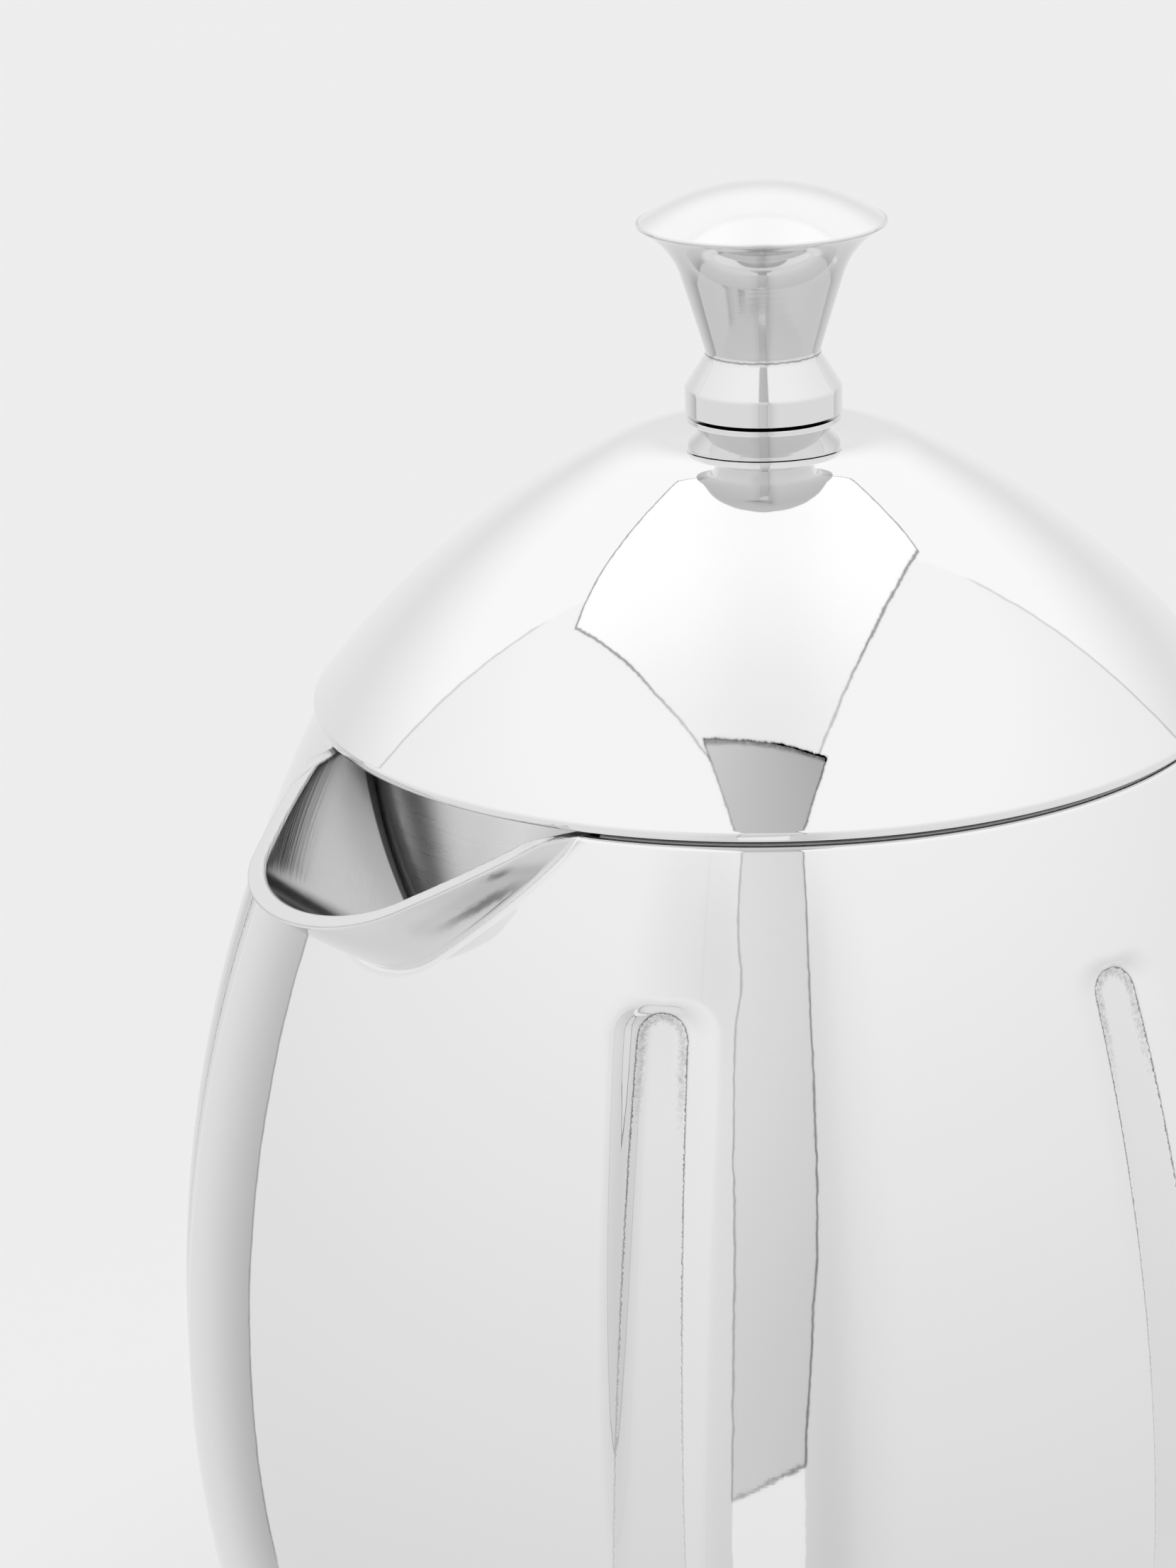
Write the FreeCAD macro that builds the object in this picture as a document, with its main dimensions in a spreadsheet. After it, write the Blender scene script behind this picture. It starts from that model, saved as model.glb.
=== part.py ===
"""Polished steel coffee press: a fluted, double-walled pot with a beak spout and a loop handle,
a domed lid with a rod guide, and a plunger with a sprung filter.

Millimetres. The origin is the centre of the underside, +Z is up, the spout points to -X and the
handle to +X. The plunger is modelled pressed down, with its knob seated on the lid's collar.
"""
import FreeCAD, Part
import math
import os
import re

import Sketcher

doc = FreeCAD.newDocument("coffee_press")

# Driving dimensions, one named cell each.
SIZES = {
    # pot
    "belly_radius": 68.0,
    "belly_height": 70.0,
    "mouth_radius": 49.5,
    "rim_height": 146.8,
    "lower_arc": 142.0,
    "base_corner": 9.0,
    "base_recess": 1.2,
    "foot_width": 8.0,
    "sheet_wall": 0.6,
    "bore_radius": 45.0,
    "bore_floor": 7.0,
    "bore_corner": 6.0,
    "rim_round": 1.0,
    # flutes pressed into the outer shell
    "flute_top": 129.0,
    "flute_end": 62.0,
    "flute_depth": 1.1,
    "flute_tool": 6.0,
    "flute_first": 35.0,
    "flute_pitch": 49.0,
    # spout: three level sections, each placed from the rim and reaching out from the mouth
    "beak_root": 9.5,
    "beak_over": 1.2,
    "beak_drop_mid": 7.3,
    "beak_drop_low": 18.8,
    "beak_top": 28.0,
    "beak_mid": 19.4,
    "beak_low": 2.4,
    "tip_round_top": 15.0,
    "tip_round_mid": 11.5,
    "tip_round_low": 6.0,
    "cheek_top": 21.5,
    "cheek_mid": 18.5,
    "cheek_low": 9.0,
    "spout_wall": 1.9,
    "lip_slope": 23.0,
    # handle
    "handle_top": 126.0,
    "handle_low": 37.0,
    "handle_reach": 104.0,
    "handle_bulge": 88.0,
    "handle_back": 90.0,
    "handle_top_bend": 20.0,
    "handle_low_bend": 30.0,
    "handle_width": 15.0,
    "handle_depth": 8.0,
    "handle_root": 50.0,
    # lid
    "rest_gap": 0.3,
    "seal_thickness": 0.6,
    "seal_width": 3.0,
    "running_fit": 0.06,
    "lid_radius": 49.7,
    "lid_lip": 0.5,
    "dome_arc": 97.0,
    "crown_flat": 11.5,
    "crown_bend": 13.0,
    "crown_angle": 27.0,
    "skirt_clearance": 0.4,
    "skirt_depth": 17.0,
    "strainer_width": 1.6,
    "strainer_height": 9.0,
    "strainer_pitch": 5.0,
    "shank_radius": 4.2,
    "collar_foot": 6.4,
    "collar_radius": 8.3,
    "collar_height": 2.0,
    "collar_edge": 0.4,
    "bush_wall": 0.9,
    "nut_flats": 13.0,
    "nut_height": 4.0,
    # plunger
    "knob_gap": 0.4,
    "knob_base_radius": 8.45,
    "knob_base_height": 2.7,
    "knob_waist_radius": 6.1,
    "knob_waist_height": 6.4,
    "knob_neck_radius": 8.4,
    "knob_neck_height": 13.9,
    "knob_flare": 9.6,
    "knob_rim_radius": 13.35,
    "knob_rim_height": 19.7,
    "knob_edge": 0.8,
    "cap_seat": 0.6,
    "cap_rise": 3.9,
    "rod_radius": 2.5,
    "rod_grip": 14.0,
    "filter_height": 18.0,
    "filter_clearance": 0.3,
    "cross_radius": 43.0,
    "cross_thickness": 0.8,
    "cross_slot_inner": 12.0,
    "cross_slot_outer": 36.0,
    "cross_slot_width": 9.0,
    "hub_radius": 6.0,
    "hub_spigot": 4.5,
    "hub_height": 4.0,
    "mesh_thickness": 0.4,
    "mesh_corner": 1.5,
    "mesh_rise": 4.2,
    "plate_radius": 40.2,
    "plate_thickness": 0.6,
    "plate_hole": 3.5,
    "plate_hole_circle": 27.0,
    "boss_radius": 6.0,
    "boss_height": 4.0,
    "spring_ring": 42.4,
    "spring_coil": 1.35,
    "spring_wire": 0.3,
    "spring_seat": 0.05,
}

# Sizes that follow from the driving ones.
DERIVED = {
    "shell_top": "rim_height - sheet_wall",
    "upper_arc": "((shell_top - belly_height)^2 + (belly_radius - mouth_radius)^2)"
                 " / (2 * (belly_radius - mouth_radius))",
    "upper_axis": "belly_radius - upper_arc",
    "lower_axis": "belly_radius - lower_arc",
    "corner_x": "lower_axis + sqrt((lower_arc - base_corner)^2 - (belly_height - base_corner)^2)",
    "seam_scale": "lower_arc / (lower_arc - base_corner)",
    "seam_radius": "lower_axis + (corner_x - lower_axis) * seam_scale",
    "seam_height": "belly_height - (belly_height - base_corner) * seam_scale",
    "seam_inner_radius": "lower_axis + sqrt((lower_arc - sheet_wall)^2 - (belly_height - seam_height)^2)",
    "mouth_inner_radius": "upper_axis + sqrt((upper_arc - sheet_wall)^2 - (shell_top - belly_height)^2)",
    "spout_back": "mouth_radius - beak_root",
    "spout_top": "rim_height + beak_over",
    "spout_mid": "rim_height - beak_drop_mid",
    "spout_low": "rim_height - beak_drop_low",
    "tip_top": "mouth_radius + beak_top",
    "tip_mid": "mouth_radius + beak_mid",
    "tip_low": "mouth_radius + beak_low",
    "liner_radius": "bore_radius + sheet_wall",
    "skirt_radius": "bore_radius - skirt_clearance",
    "seal_bottom": "rim_height + rest_gap",
    "seal_inner": "skirt_radius + running_fit",
    "plate_bottom": "seal_bottom + seal_thickness + rest_gap",
    "plate_top": "plate_bottom + sheet_wall",
    "lid_edge": "plate_bottom - rest_gap",
    "dome_foot": "lid_edge + lid_lip",
    "bend_radius": "crown_flat + crown_bend * sin(crown_angle * 1deg)",
    "dome_centre": "bend_radius - dome_arc * sin(crown_angle * 1deg)",
    "dome_axis": "dome_foot - sqrt(dome_arc^2 - (lid_radius - dome_centre)^2)",
    "bend_height": "dome_axis + dome_arc * cos(crown_angle * 1deg)",
    "crown": "bend_height + crown_bend * (1 - cos(crown_angle * 1deg))",
    "dome_inner": "dome_arc - sheet_wall",
    "bend_inner": "crown_bend - sheet_wall",
    "bend_inner_radius": "bend_radius - sheet_wall * sin(crown_angle * 1deg)",
    "bend_inner_height": "bend_height - sheet_wall * cos(crown_angle * 1deg)",
    "dome_inner_foot": "dome_axis + sqrt(dome_inner^2 - (lid_radius - sheet_wall - dome_centre)^2)",
    "plate_edge": "dome_centre + sqrt(dome_inner^2 - (plate_top - dome_axis)^2)",
    "plate_edge_low": "min(lid_radius - sheet_wall; dome_centre"
                      " + sqrt(dome_inner^2 - (plate_bottom - dome_axis)^2))",
    "collar_top": "crown + collar_height",
    "bush_radius": "rod_radius + running_fit + bush_wall",
    "nut_bottom": "plate_bottom - nut_height",
    "skirt_bottom": "plate_bottom - skirt_depth",
    "knob_base": "collar_top + knob_gap",
    "knob_rim": "knob_base + knob_rim_height",
    "knob_top": "knob_rim + knob_edge",
    "cap_radius": "knob_rim_radius - cap_seat",
    "cap_floor": "knob_top - cap_seat",
    "cap_arc": "(cap_radius^2 + cap_rise^2) / (2 * cap_rise)",
    "rod_top": "knob_base + rod_grip",
    "hub_bottom": "filter_height - hub_height",
    "mesh_bottom": "filter_height + cross_thickness",
    "mesh_top": "mesh_bottom + mesh_thickness",
    "mesh_radius": "bore_radius - filter_clearance",
    "plate_upper": "mesh_top + plate_thickness",
    "spring_height": "mesh_top + spring_seat + spring_wire + spring_coil",
}

FLUTES_PER_SIDE = 3
STRAINER_SLOTS = 7
CROSS_SLOTS = 8
PLATE_HOLES = 12
SPRING_TURNS = 60
SPRING_OPENING = 3.0  # degrees left open between the spring's two ends


def make_sheet(name, cells):
    sheet = doc.addObject("Spreadsheet::Sheet", name)
    for row, (alias, content) in enumerate(cells.items(), start=1):
        sheet.set(f"A{row}", alias)
        sheet.set(f"B{row}", content if isinstance(content, str) else repr(content))
        sheet.setAlias(f"B{row}", alias)
    doc.recompute()
    return sheet


def qualified(expression, local=()):
    """The expression with each size written as its sheet and alias."""
    def place(match):
        word = match.group()
        if word in SIZES and word not in local:
            return f"Sizes.{word}"
        if word in DERIVED and word not in local:
            return f"Worked.{word}"
        return word
    return re.sub(r"[a-z]\w*", place, str(expression))


sizes = make_sheet("Sizes", SIZES)
worked = make_sheet("Worked", {key: "=" + qualified(text, DERIVED) for key, text in DERIVED.items()})


def value(expression):
    return float(worked.evalExpression(qualified(expression, DERIVED)))


def bind(target, **properties):
    for name, expression in properties.items():
        target.setExpression(name, qualified(expression))


# Sketches

def origin_plane(body, role):
    return next(f for f in body.Origin.OriginFeatures if f.Role == role)


def new_sketch(body, name, role, height=None):
    """A sketch on one of the body's origin planes, lifted by the given height."""
    sketch = body.newObject("Sketcher::SketchObject", name)
    sketch.AttachmentSupport = (origin_plane(body, role), "")
    sketch.MapMode = "FlatFace"
    if height is not None:
        bind(sketch, **{"AttachmentOffset.Base.z": height})
    return sketch


def dimension(sketch, kind, *place_and_expression):
    """A dimensional constraint that follows an expression."""
    *place, expression = place_and_expression
    index = sketch.addConstraint(Sketcher.Constraint(kind, *place, value(expression)))
    sketch.setExpression(f"Constraints[{index}]", qualified(expression))


def arc_between(start, end, radius, side):
    """The short arc from start to end with its centre to the left (side 1) or right (side -1)
    of the way, and whether it runs counter-clockwise."""
    chord = end - start
    half = chord.Length / 2
    normal = FreeCAD.Vector(-chord.y, chord.x, 0).normalize()
    centre = (start + end) / 2 + normal * side * math.sqrt(max(radius**2 - half**2, 0))
    first, last = (start, end) if side > 0 else (end, start)
    begin = math.atan2(first.y - centre.y, first.x - centre.x)
    finish = math.atan2(last.y - centre.y, last.x - centre.x)
    circle = Part.Circle(centre, FreeCAD.Vector(0, 0, 1), radius)
    return Part.ArcOfCircle(circle, begin, finish), side > 0


def draw_outline(sketch, corners):
    """A closed outline. A corner is (x, y), or (x, y, radius, side) where an arc leads to the
    next corner; each coordinate and radius is an expression."""
    points = [FreeCAD.Vector(value(c[0]), value(c[1]), 0) for c in corners]
    ends = []
    for i, corner in enumerate(corners):
        start, end = points[i], points[(i + 1) % len(points)]
        if len(corner) == 2:
            edge = sketch.addGeometry(Part.LineSegment(start, end))
            ends.append((edge, 1, 2))
        else:
            arc, forward = arc_between(start, end, value(corner[2]), corner[3])
            edge = sketch.addGeometry(arc)
            ends.append((edge, 1, 2) if forward else (edge, 2, 1))
    for i, corner in enumerate(corners):
        edge, first, last = ends[i]
        after, after_first, _ = ends[(i + 1) % len(ends)]
        sketch.addConstraint(Sketcher.Constraint("Coincident", edge, last, after, after_first))
        if str(corner[0]) == "0":
            sketch.addConstraint(Sketcher.Constraint("PointOnObject", edge, first, -2))
        else:
            dimension(sketch, "DistanceX", -1, 1, edge, first, corner[0])
        if str(corner[1]) == "0":
            sketch.addConstraint(Sketcher.Constraint("PointOnObject", edge, first, -1))
        else:
            dimension(sketch, "DistanceY", -1, 1, edge, first, corner[1])
        if len(corner) == 4:
            dimension(sketch, "Radius", edge, corner[2])


def turned(label, corners):
    """A body turned about the Z axis from an outline of (radius, height) corners."""
    body = doc.addObject("PartDesign::Body", label)
    sketch = new_sketch(body, label + "_outline", "XZ_Plane")
    draw_outline(sketch, corners)
    turn = body.newObject("PartDesign::Revolution", label + "_turn")
    turn.Profile = sketch
    turn.ReferenceAxis = (sketch, ["V_Axis"])
    turn.Angle = 360.0
    doc.recompute()
    return body


def combine(kind, label, first, second):
    result = doc.addObject(kind, label)
    result.Base = first
    result.Tool = second
    return result


def cut(label, base, tool):
    return combine("Part::Cut", label, base, tool)


def gather(label, shapes):
    group = doc.addObject("Part::MultiFuse", label)
    group.Shapes = shapes
    return group


# Pot

def egg(label, inset, mouth, seam):
    """The shell's filled form, inset by a thickness."""
    return turned(label, [
        (0, "shell_top"),
        (0, "seam_height"),
        (seam, "seam_height", f"lower_arc - {inset}", 1),
        (f"belly_radius - {inset}", "belly_height", f"upper_arc - {inset}", 1),
        (mouth, "shell_top"),
    ])


def flute_tools(label, swell):
    """Round tools that press the flutes: each follows the upper arc of the shell, deepest at its
    round top and running out of the surface below. The swell thickens them for the inner side."""
    depth = value("flute_depth")
    tool = value("flute_tool")
    radius = value("belly_radius") - value("upper_axis")
    top_angle = math.asin((value("flute_top") - value("belly_height")) / radius)
    end_angle = math.asin((value("flute_end") - value("belly_height")) / radius)
    axis_x, axis_z = value("upper_axis"), value("belly_height")

    def on_path(angle, lift):
        reach = radius + lift
        return FreeCAD.Vector(axis_x + reach * math.cos(angle), 0, axis_z + reach * math.sin(angle))

    middle = (top_angle + end_angle) / 2
    lower, upper = on_path(end_angle, tool), on_path(top_angle, tool - depth)
    path = Part.Arc(lower, on_path(middle, tool - depth * 0.75), upper).toShape().Curve
    centre, bend = path.Center, path.Radius
    start = lower - centre
    sweep = math.degrees((upper - centre).getAngle(start))
    tools = []
    for side in (-1, 1):
        for i in range(FLUTES_PER_SIDE):
            turn = 180 + side * (value("flute_first") + i * value("flute_pitch"))
            place = FreeCAD.Placement(FreeCAD.Vector(), FreeCAD.Rotation(FreeCAD.Vector(0, 0, 1), turn))
            groove = doc.addObject("Part::Torus", f"{label}_groove")
            groove.Radius1 = bend
            bind(groove, Radius2=f"flute_tool + {swell}")
            groove.Angle3 = sweep
            # the ring lies in the meridian plane, and starts at the flute's lower end
            tilt = math.degrees(math.atan2(start.z, start.x))
            upright = FreeCAD.Rotation(FreeCAD.Vector(1, 0, 0), 90)
            swing = FreeCAD.Rotation(FreeCAD.Vector(0, 1, 0), -tilt)
            groove.Placement = place.multiply(FreeCAD.Placement(centre, swing.multiply(upright)))
            ball = doc.addObject("Part::Sphere", f"{label}_end")
            bind(ball, Radius=f"flute_tool + {swell}")
            ball.Placement = place.multiply(FreeCAD.Placement(upper, FreeCAD.Rotation()))
            tools += [groove, ball]
    return gather(label, tools)


def spout_section(name, height, tip, tip_round, cheek):
    """A level section of the beak: two cheeks from the back line, tangent to the round tip."""
    sketch = doc.addObject("Sketcher::SketchObject", name)
    bind(sketch, **{"Placement.Base.z": height})
    reach, bend = value(tip), value(tip_round)
    back, half = value("spout_back"), value(cheek)
    centre = FreeCAD.Vector(-(reach - bend), 0, 0)
    span = math.hypot(reach - bend - back, half)
    lean = math.atan2(half, reach - bend - back)
    touch = lean + math.acos(bend / span)
    sides = []
    for sign in (1, -1):
        corner = FreeCAD.Vector(-back, sign * half, 0)
        spot = centre + FreeCAD.Vector(math.cos(touch), sign * math.sin(touch), 0) * bend
        sides.append((corner, spot))
    (upper, upper_spot), (lower, lower_spot) = sides
    turn_to = math.atan2(upper_spot.y, upper_spot.x - centre.x)
    circle = Part.Circle(centre, FreeCAD.Vector(0, 0, 1), bend)
    sketch.addGeometry([
        Part.LineSegment(lower, upper),
        Part.LineSegment(upper, upper_spot),
        Part.ArcOfCircle(circle, turn_to, 2 * math.pi - turn_to),
        Part.LineSegment(lower_spot, lower),
    ])
    for first, second in ((0, 1), (3, 0)):
        sketch.addConstraint(Sketcher.Constraint("Coincident", first, 2, second, 1))
    sketch.addConstraint(Sketcher.Constraint("Tangent", 1, 2, 2, 1))
    sketch.addConstraint(Sketcher.Constraint("Tangent", 2, 2, 3, 1))
    sketch.addConstraint(Sketcher.Constraint("PointOnObject", 2, 3, -1))
    sketch.addConstraint(Sketcher.Constraint("Symmetric", 0, 1, 0, 2, -1))
    dimension(sketch, "Radius", 2, tip_round)
    dimension(sketch, "DistanceX", 2, 3, -1, 1, f"{tip} - ({tip_round})")
    dimension(sketch, "DistanceX", 0, 1, -1, 1, "spout_back")
    dimension(sketch, "DistanceY", 0, 1, 0, 2, f"2 * ({cheek})")
    return sketch


def beak(label, inset):
    """The filled beak, or its channel when inset by the spout's wall."""
    sections = [
        spout_section(f"{label}_{level}", f"spout_{level} + {inset}", f"tip_{level} - {inset}",
                      f"tip_round_{level} - {inset} / 2", f"cheek_{level} - {inset}")
        for level in ("low", "mid", "top")
    ]
    loft = doc.addObject("Part::Loft", label)
    loft.Sections = sections
    loft.Solid = True
    loft.Ruled = False
    return loft


def big_block(label, height):
    """Everything above a height, for trimming."""
    block = doc.addObject("Part::Box", label)
    bind(block, Length="4 * belly_radius", Width="4 * belly_radius", Height="rim_height")
    bind(block, **{"Placement.Base.x": "-2 * belly_radius", "Placement.Base.y": "-2 * belly_radius",
                   "Placement.Base.z": height})
    return block


def make_pot():
    outer_form = egg("shell_form", "0", "mouth_radius", "seam_radius")
    inner_form = egg("shell_cavity", "sheet_wall", "mouth_inner_radius", "seam_inner_radius")
    pressed = cut("shell_outside", outer_form, flute_tools("flutes", "0"))
    hollow = cut("shell_inside", inner_form, flute_tools("flute_backs", "sheet_wall"))
    fluted = cut("shell_fluted", pressed, hollow)

    beak_form = beak("beak_form", "0")
    channel = beak("beak_channel", "spout_wall")
    outer_shell = cut("outer_shell", fluted, beak_form)

    liner = turned("liner_cup", [
        (0, "bore_floor"),
        (0, "bore_floor - sheet_wall"),
        ("bore_radius - bore_corner", "bore_floor - sheet_wall", "bore_corner + sheet_wall", 1),
        ("liner_radius", "bore_floor + bore_corner"),
        ("liner_radius", "shell_top"),
        ("mouth_radius", "shell_top"),
        ("mouth_radius", "rim_height"),
        ("bore_radius + rim_round", "rim_height", "rim_round", 1),
        ("bore_radius", "rim_height - rim_round"),
        ("bore_radius", "bore_floor + bore_corner", "bore_corner", -1),
        ("bore_radius - bore_corner", "bore_floor"),
    ])
    bore_core = doc.addObject("Part::Cylinder", "bore_core")
    bind(bore_core, Radius="liner_radius", Height="2 * rim_height")
    beak_outside = cut("beak_outside", beak_form, bore_core)
    notched = cut("liner_notched", liner, channel)
    inner_liner = cut("inner_liner", notched, beak_outside)

    walls = cut("beak_walls", beak_outside, channel)
    above_rim = big_block("above_rim", "rim_height")
    above_lip = big_block("above_lip", "rim_height")
    above_lip.Placement = FreeCAD.Placement()
    bind(above_lip, **{
        "Placement.Base.x": "-mouth_radius - 4 * belly_radius * cos(lip_slope)",
        "Placement.Base.y": "-2 * belly_radius",
        "Placement.Base.z": "rim_height - 4 * belly_radius * sin(lip_slope)",
        "Placement.Rotation.Axis.x": "0",
        "Placement.Rotation.Axis.y": "-1",
        "Placement.Rotation.Axis.z": "0",
        "Placement.Rotation.Angle": "lip_slope",
    })
    below_rim = cut("spout_below_rim", walls, above_rim)
    spout = cut("spout", below_rim, above_lip)

    base_cap = turned("base_cap", [
        (0, "base_recess"),
        ("corner_x - foot_width - base_recess", "base_recess"),
        ("corner_x - foot_width", 0),
        ("corner_x", 0, "base_corner", 1),
        ("seam_radius", "seam_height"),
        ("seam_inner_radius", "seam_height", "base_corner - sheet_wall", -1),
        ("corner_x", "sheet_wall"),
        ("corner_x - foot_width", "sheet_wall"),
        ("corner_x - foot_width - base_recess", "base_recess + sheet_wall"),
        (0, "base_recess + sheet_wall"),
    ])
    return [outer_shell, inner_liner, spout, base_cap, make_handle(outer_form)]


def make_handle(pot_form):
    """A bent oval bar whose two ends are trimmed to the pot's side."""
    body = doc.addObject("PartDesign::Body", "handle_bar")
    path = new_sketch(body, "handle_path", "XZ_Plane")
    top, low, root = value("handle_top"), value("handle_low"), value("handle_root")
    back, bulge = value("handle_back"), value("handle_bulge")
    middle = FreeCAD.Vector(value("handle_reach") - back, bulge, 0)

    def bend_centre(radius, height):
        """Centre of a bend that touches the long back arc from inside."""
        return FreeCAD.Vector(middle.x + math.sqrt((back - radius)**2 - (height - bulge)**2), height, 0)

    bend, low_bend = value("handle_top_bend"), value("handle_low_bend")
    upper, lower = bend_centre(bend, top - bend), bend_centre(low_bend, low + low_bend)
    rise = math.atan2(upper.y - bulge, upper.x - middle.x)
    drop = math.atan2(lower.y - bulge, lower.x - middle.x)
    up = FreeCAD.Vector(0, 0, 1)
    path.addGeometry([
        Part.LineSegment(FreeCAD.Vector(root, top, 0), FreeCAD.Vector(upper.x, top, 0)),
        Part.ArcOfCircle(Part.Circle(upper, up, bend), rise, math.pi / 2),
        Part.ArcOfCircle(Part.Circle(middle, up, back), drop, rise),
        Part.ArcOfCircle(Part.Circle(lower, up, low_bend), -math.pi / 2, drop),
        Part.LineSegment(FreeCAD.Vector(lower.x, low, 0), FreeCAD.Vector(root, low, 0)),
    ])
    for first, end, second, start in ((0, 2, 1, 2), (1, 1, 2, 2), (2, 1, 3, 2), (3, 1, 4, 1)):
        path.addConstraint(Sketcher.Constraint("Tangent", first, end, second, start))
    path.addConstraint(Sketcher.Constraint("Horizontal", 0))
    path.addConstraint(Sketcher.Constraint("Horizontal", 4))
    dimension(path, "DistanceX", -1, 1, 0, 1, "handle_root")
    dimension(path, "DistanceY", -1, 1, 0, 1, "handle_top")
    dimension(path, "DistanceX", -1, 1, 2, 3, "handle_reach - handle_back")
    dimension(path, "DistanceY", -1, 1, 2, 3, "handle_bulge")
    dimension(path, "DistanceX", -1, 1, 4, 2, "handle_root")
    dimension(path, "DistanceY", -1, 1, 4, 2, "handle_low")
    dimension(path, "Radius", 1, "handle_top_bend")
    dimension(path, "Radius", 2, "handle_back")
    dimension(path, "Radius", 3, "handle_low_bend")

    section = new_sketch(body, "handle_section", "YZ_Plane", "handle_root")
    centre = FreeCAD.Vector(0, top, 0)
    half_width, half_depth = value("handle_width / 2"), value("handle_depth / 2")
    section.addGeometry(Part.Ellipse(centre + FreeCAD.Vector(half_width, 0, 0),
                                     centre + FreeCAD.Vector(0, half_depth, 0), centre))
    section.exposeInternalGeometry(0)
    section.addConstraint(Sketcher.Constraint("PointOnObject", 0, 3, -2))
    dimension(section, "DistanceY", -1, 1, 0, 3, "handle_top")
    section.addConstraint(Sketcher.Constraint("Horizontal", 1))
    dimension(section, "DistanceX", 1, 2, 1, 1, "handle_width")
    dimension(section, "DistanceY", 2, 2, 2, 1, "handle_depth")

    bar = body.newObject("PartDesign::AdditivePipe", "handle_sweep")
    bar.Profile = section
    bar.Spine = path
    doc.recompute()
    return cut("handle", body, pot_form)


# Lid

def pocket_pattern(body, label, sketch, count):
    """Cuts the sketch through the body and repeats the cut about Z."""
    pocket = body.newObject("PartDesign::Pocket", label + "_cut")
    pocket.Profile = sketch
    pocket.Type = 1
    doc.recompute()
    pattern = body.newObject("PartDesign::PolarPattern", label + "_pattern")
    pattern.Originals = [pocket]
    pattern.Axis = (origin_plane(body, "Z_Axis"), [""])
    pattern.Angle = 360.0
    pattern.Occurrences = count
    body.Tip = pattern
    doc.recompute()


def make_lid():
    seal = turned("lid_seal", [
        ("seal_inner", "seal_bottom"),
        ("seal_inner + seal_width", "seal_bottom"),
        ("seal_inner + seal_width", "seal_bottom + seal_thickness"),
        ("seal_inner", "seal_bottom + seal_thickness"),
    ])
    dome = turned("lid_dome", [
        ("lid_radius", "dome_foot", "dome_arc", 1),
        ("bend_radius", "bend_height", "crown_bend", 1),
        ("crown_flat", "crown"),
        ("shank_radius", "crown"),
        ("shank_radius", "crown - sheet_wall"),
        ("crown_flat", "crown - sheet_wall", "bend_inner", -1),
        ("bend_inner_radius", "bend_inner_height", "dome_inner", -1),
        ("lid_radius - sheet_wall", "dome_inner_foot"),
        ("lid_radius - sheet_wall", "lid_edge"),
        ("lid_radius", "lid_edge"),
    ])
    plate = make_lid_plate()
    collar = turned("lid_collar", [
        ("bush_radius", "nut_bottom"),
        ("shank_radius", "nut_bottom"),
        ("shank_radius", "crown"),
        ("collar_foot", "crown"),
        ("collar_radius", "collar_top - collar_edge"),
        ("collar_radius", "collar_top"),
        ("bush_radius", "collar_top"),
    ])
    bush = turned("guide_bush", [
        ("rod_radius + running_fit", "nut_bottom"),
        ("bush_radius", "nut_bottom"),
        ("bush_radius", "collar_top"),
        ("rod_radius + running_fit", "collar_top"),
    ])
    return [seal, dome, plate, collar, bush, make_guide_nut()]


def make_lid_plate():
    """The inner plate that closes the dome, with its skirt. The strainer slots lie away from the
    spout while the lid is turned shut."""
    plate = turned("lid_plate", [
        ("shank_radius", "plate_bottom"),
        ("skirt_radius - sheet_wall", "plate_bottom"),
        ("skirt_radius - sheet_wall", "skirt_bottom"),
        ("skirt_radius", "skirt_bottom"),
        ("skirt_radius", "plate_bottom"),
        ("plate_edge_low", "plate_bottom"),
        ("plate_edge", "plate_top"),
        ("shank_radius", "plate_top"),
    ])
    sketch = new_sketch(plate, "strainer_slot", "YZ_Plane")
    half = "strainer_width / 2"
    low = "skirt_bottom + strainer_width"
    draw_outline(sketch, [
        (f"-{half}", f"{low}"),
        (half, f"{low}"),
        (half, f"{low} + strainer_height"),
        (f"-{half}", f"{low} + strainer_height"),
    ])
    pocket = plate.newObject("PartDesign::Pocket", "strainer_cut")
    pocket.Profile = sketch
    pocket.Type = 1
    pocket.Reversed = True
    doc.recompute()
    spread = value("strainer_pitch") * (STRAINER_SLOTS - 1)
    for name, reverse in (("strainer_left", False), ("strainer_right", True)):
        pattern = plate.newObject("PartDesign::PolarPattern", name)
        pattern.Originals = [pocket]
        pattern.Axis = (origin_plane(plate, "Z_Axis"), [""])
        pattern.Angle = spread / 2
        pattern.Occurrences = (STRAINER_SLOTS + 1) // 2
        pattern.Reversed = reverse
        plate.Tip = pattern
        doc.recompute()
    return plate


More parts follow.
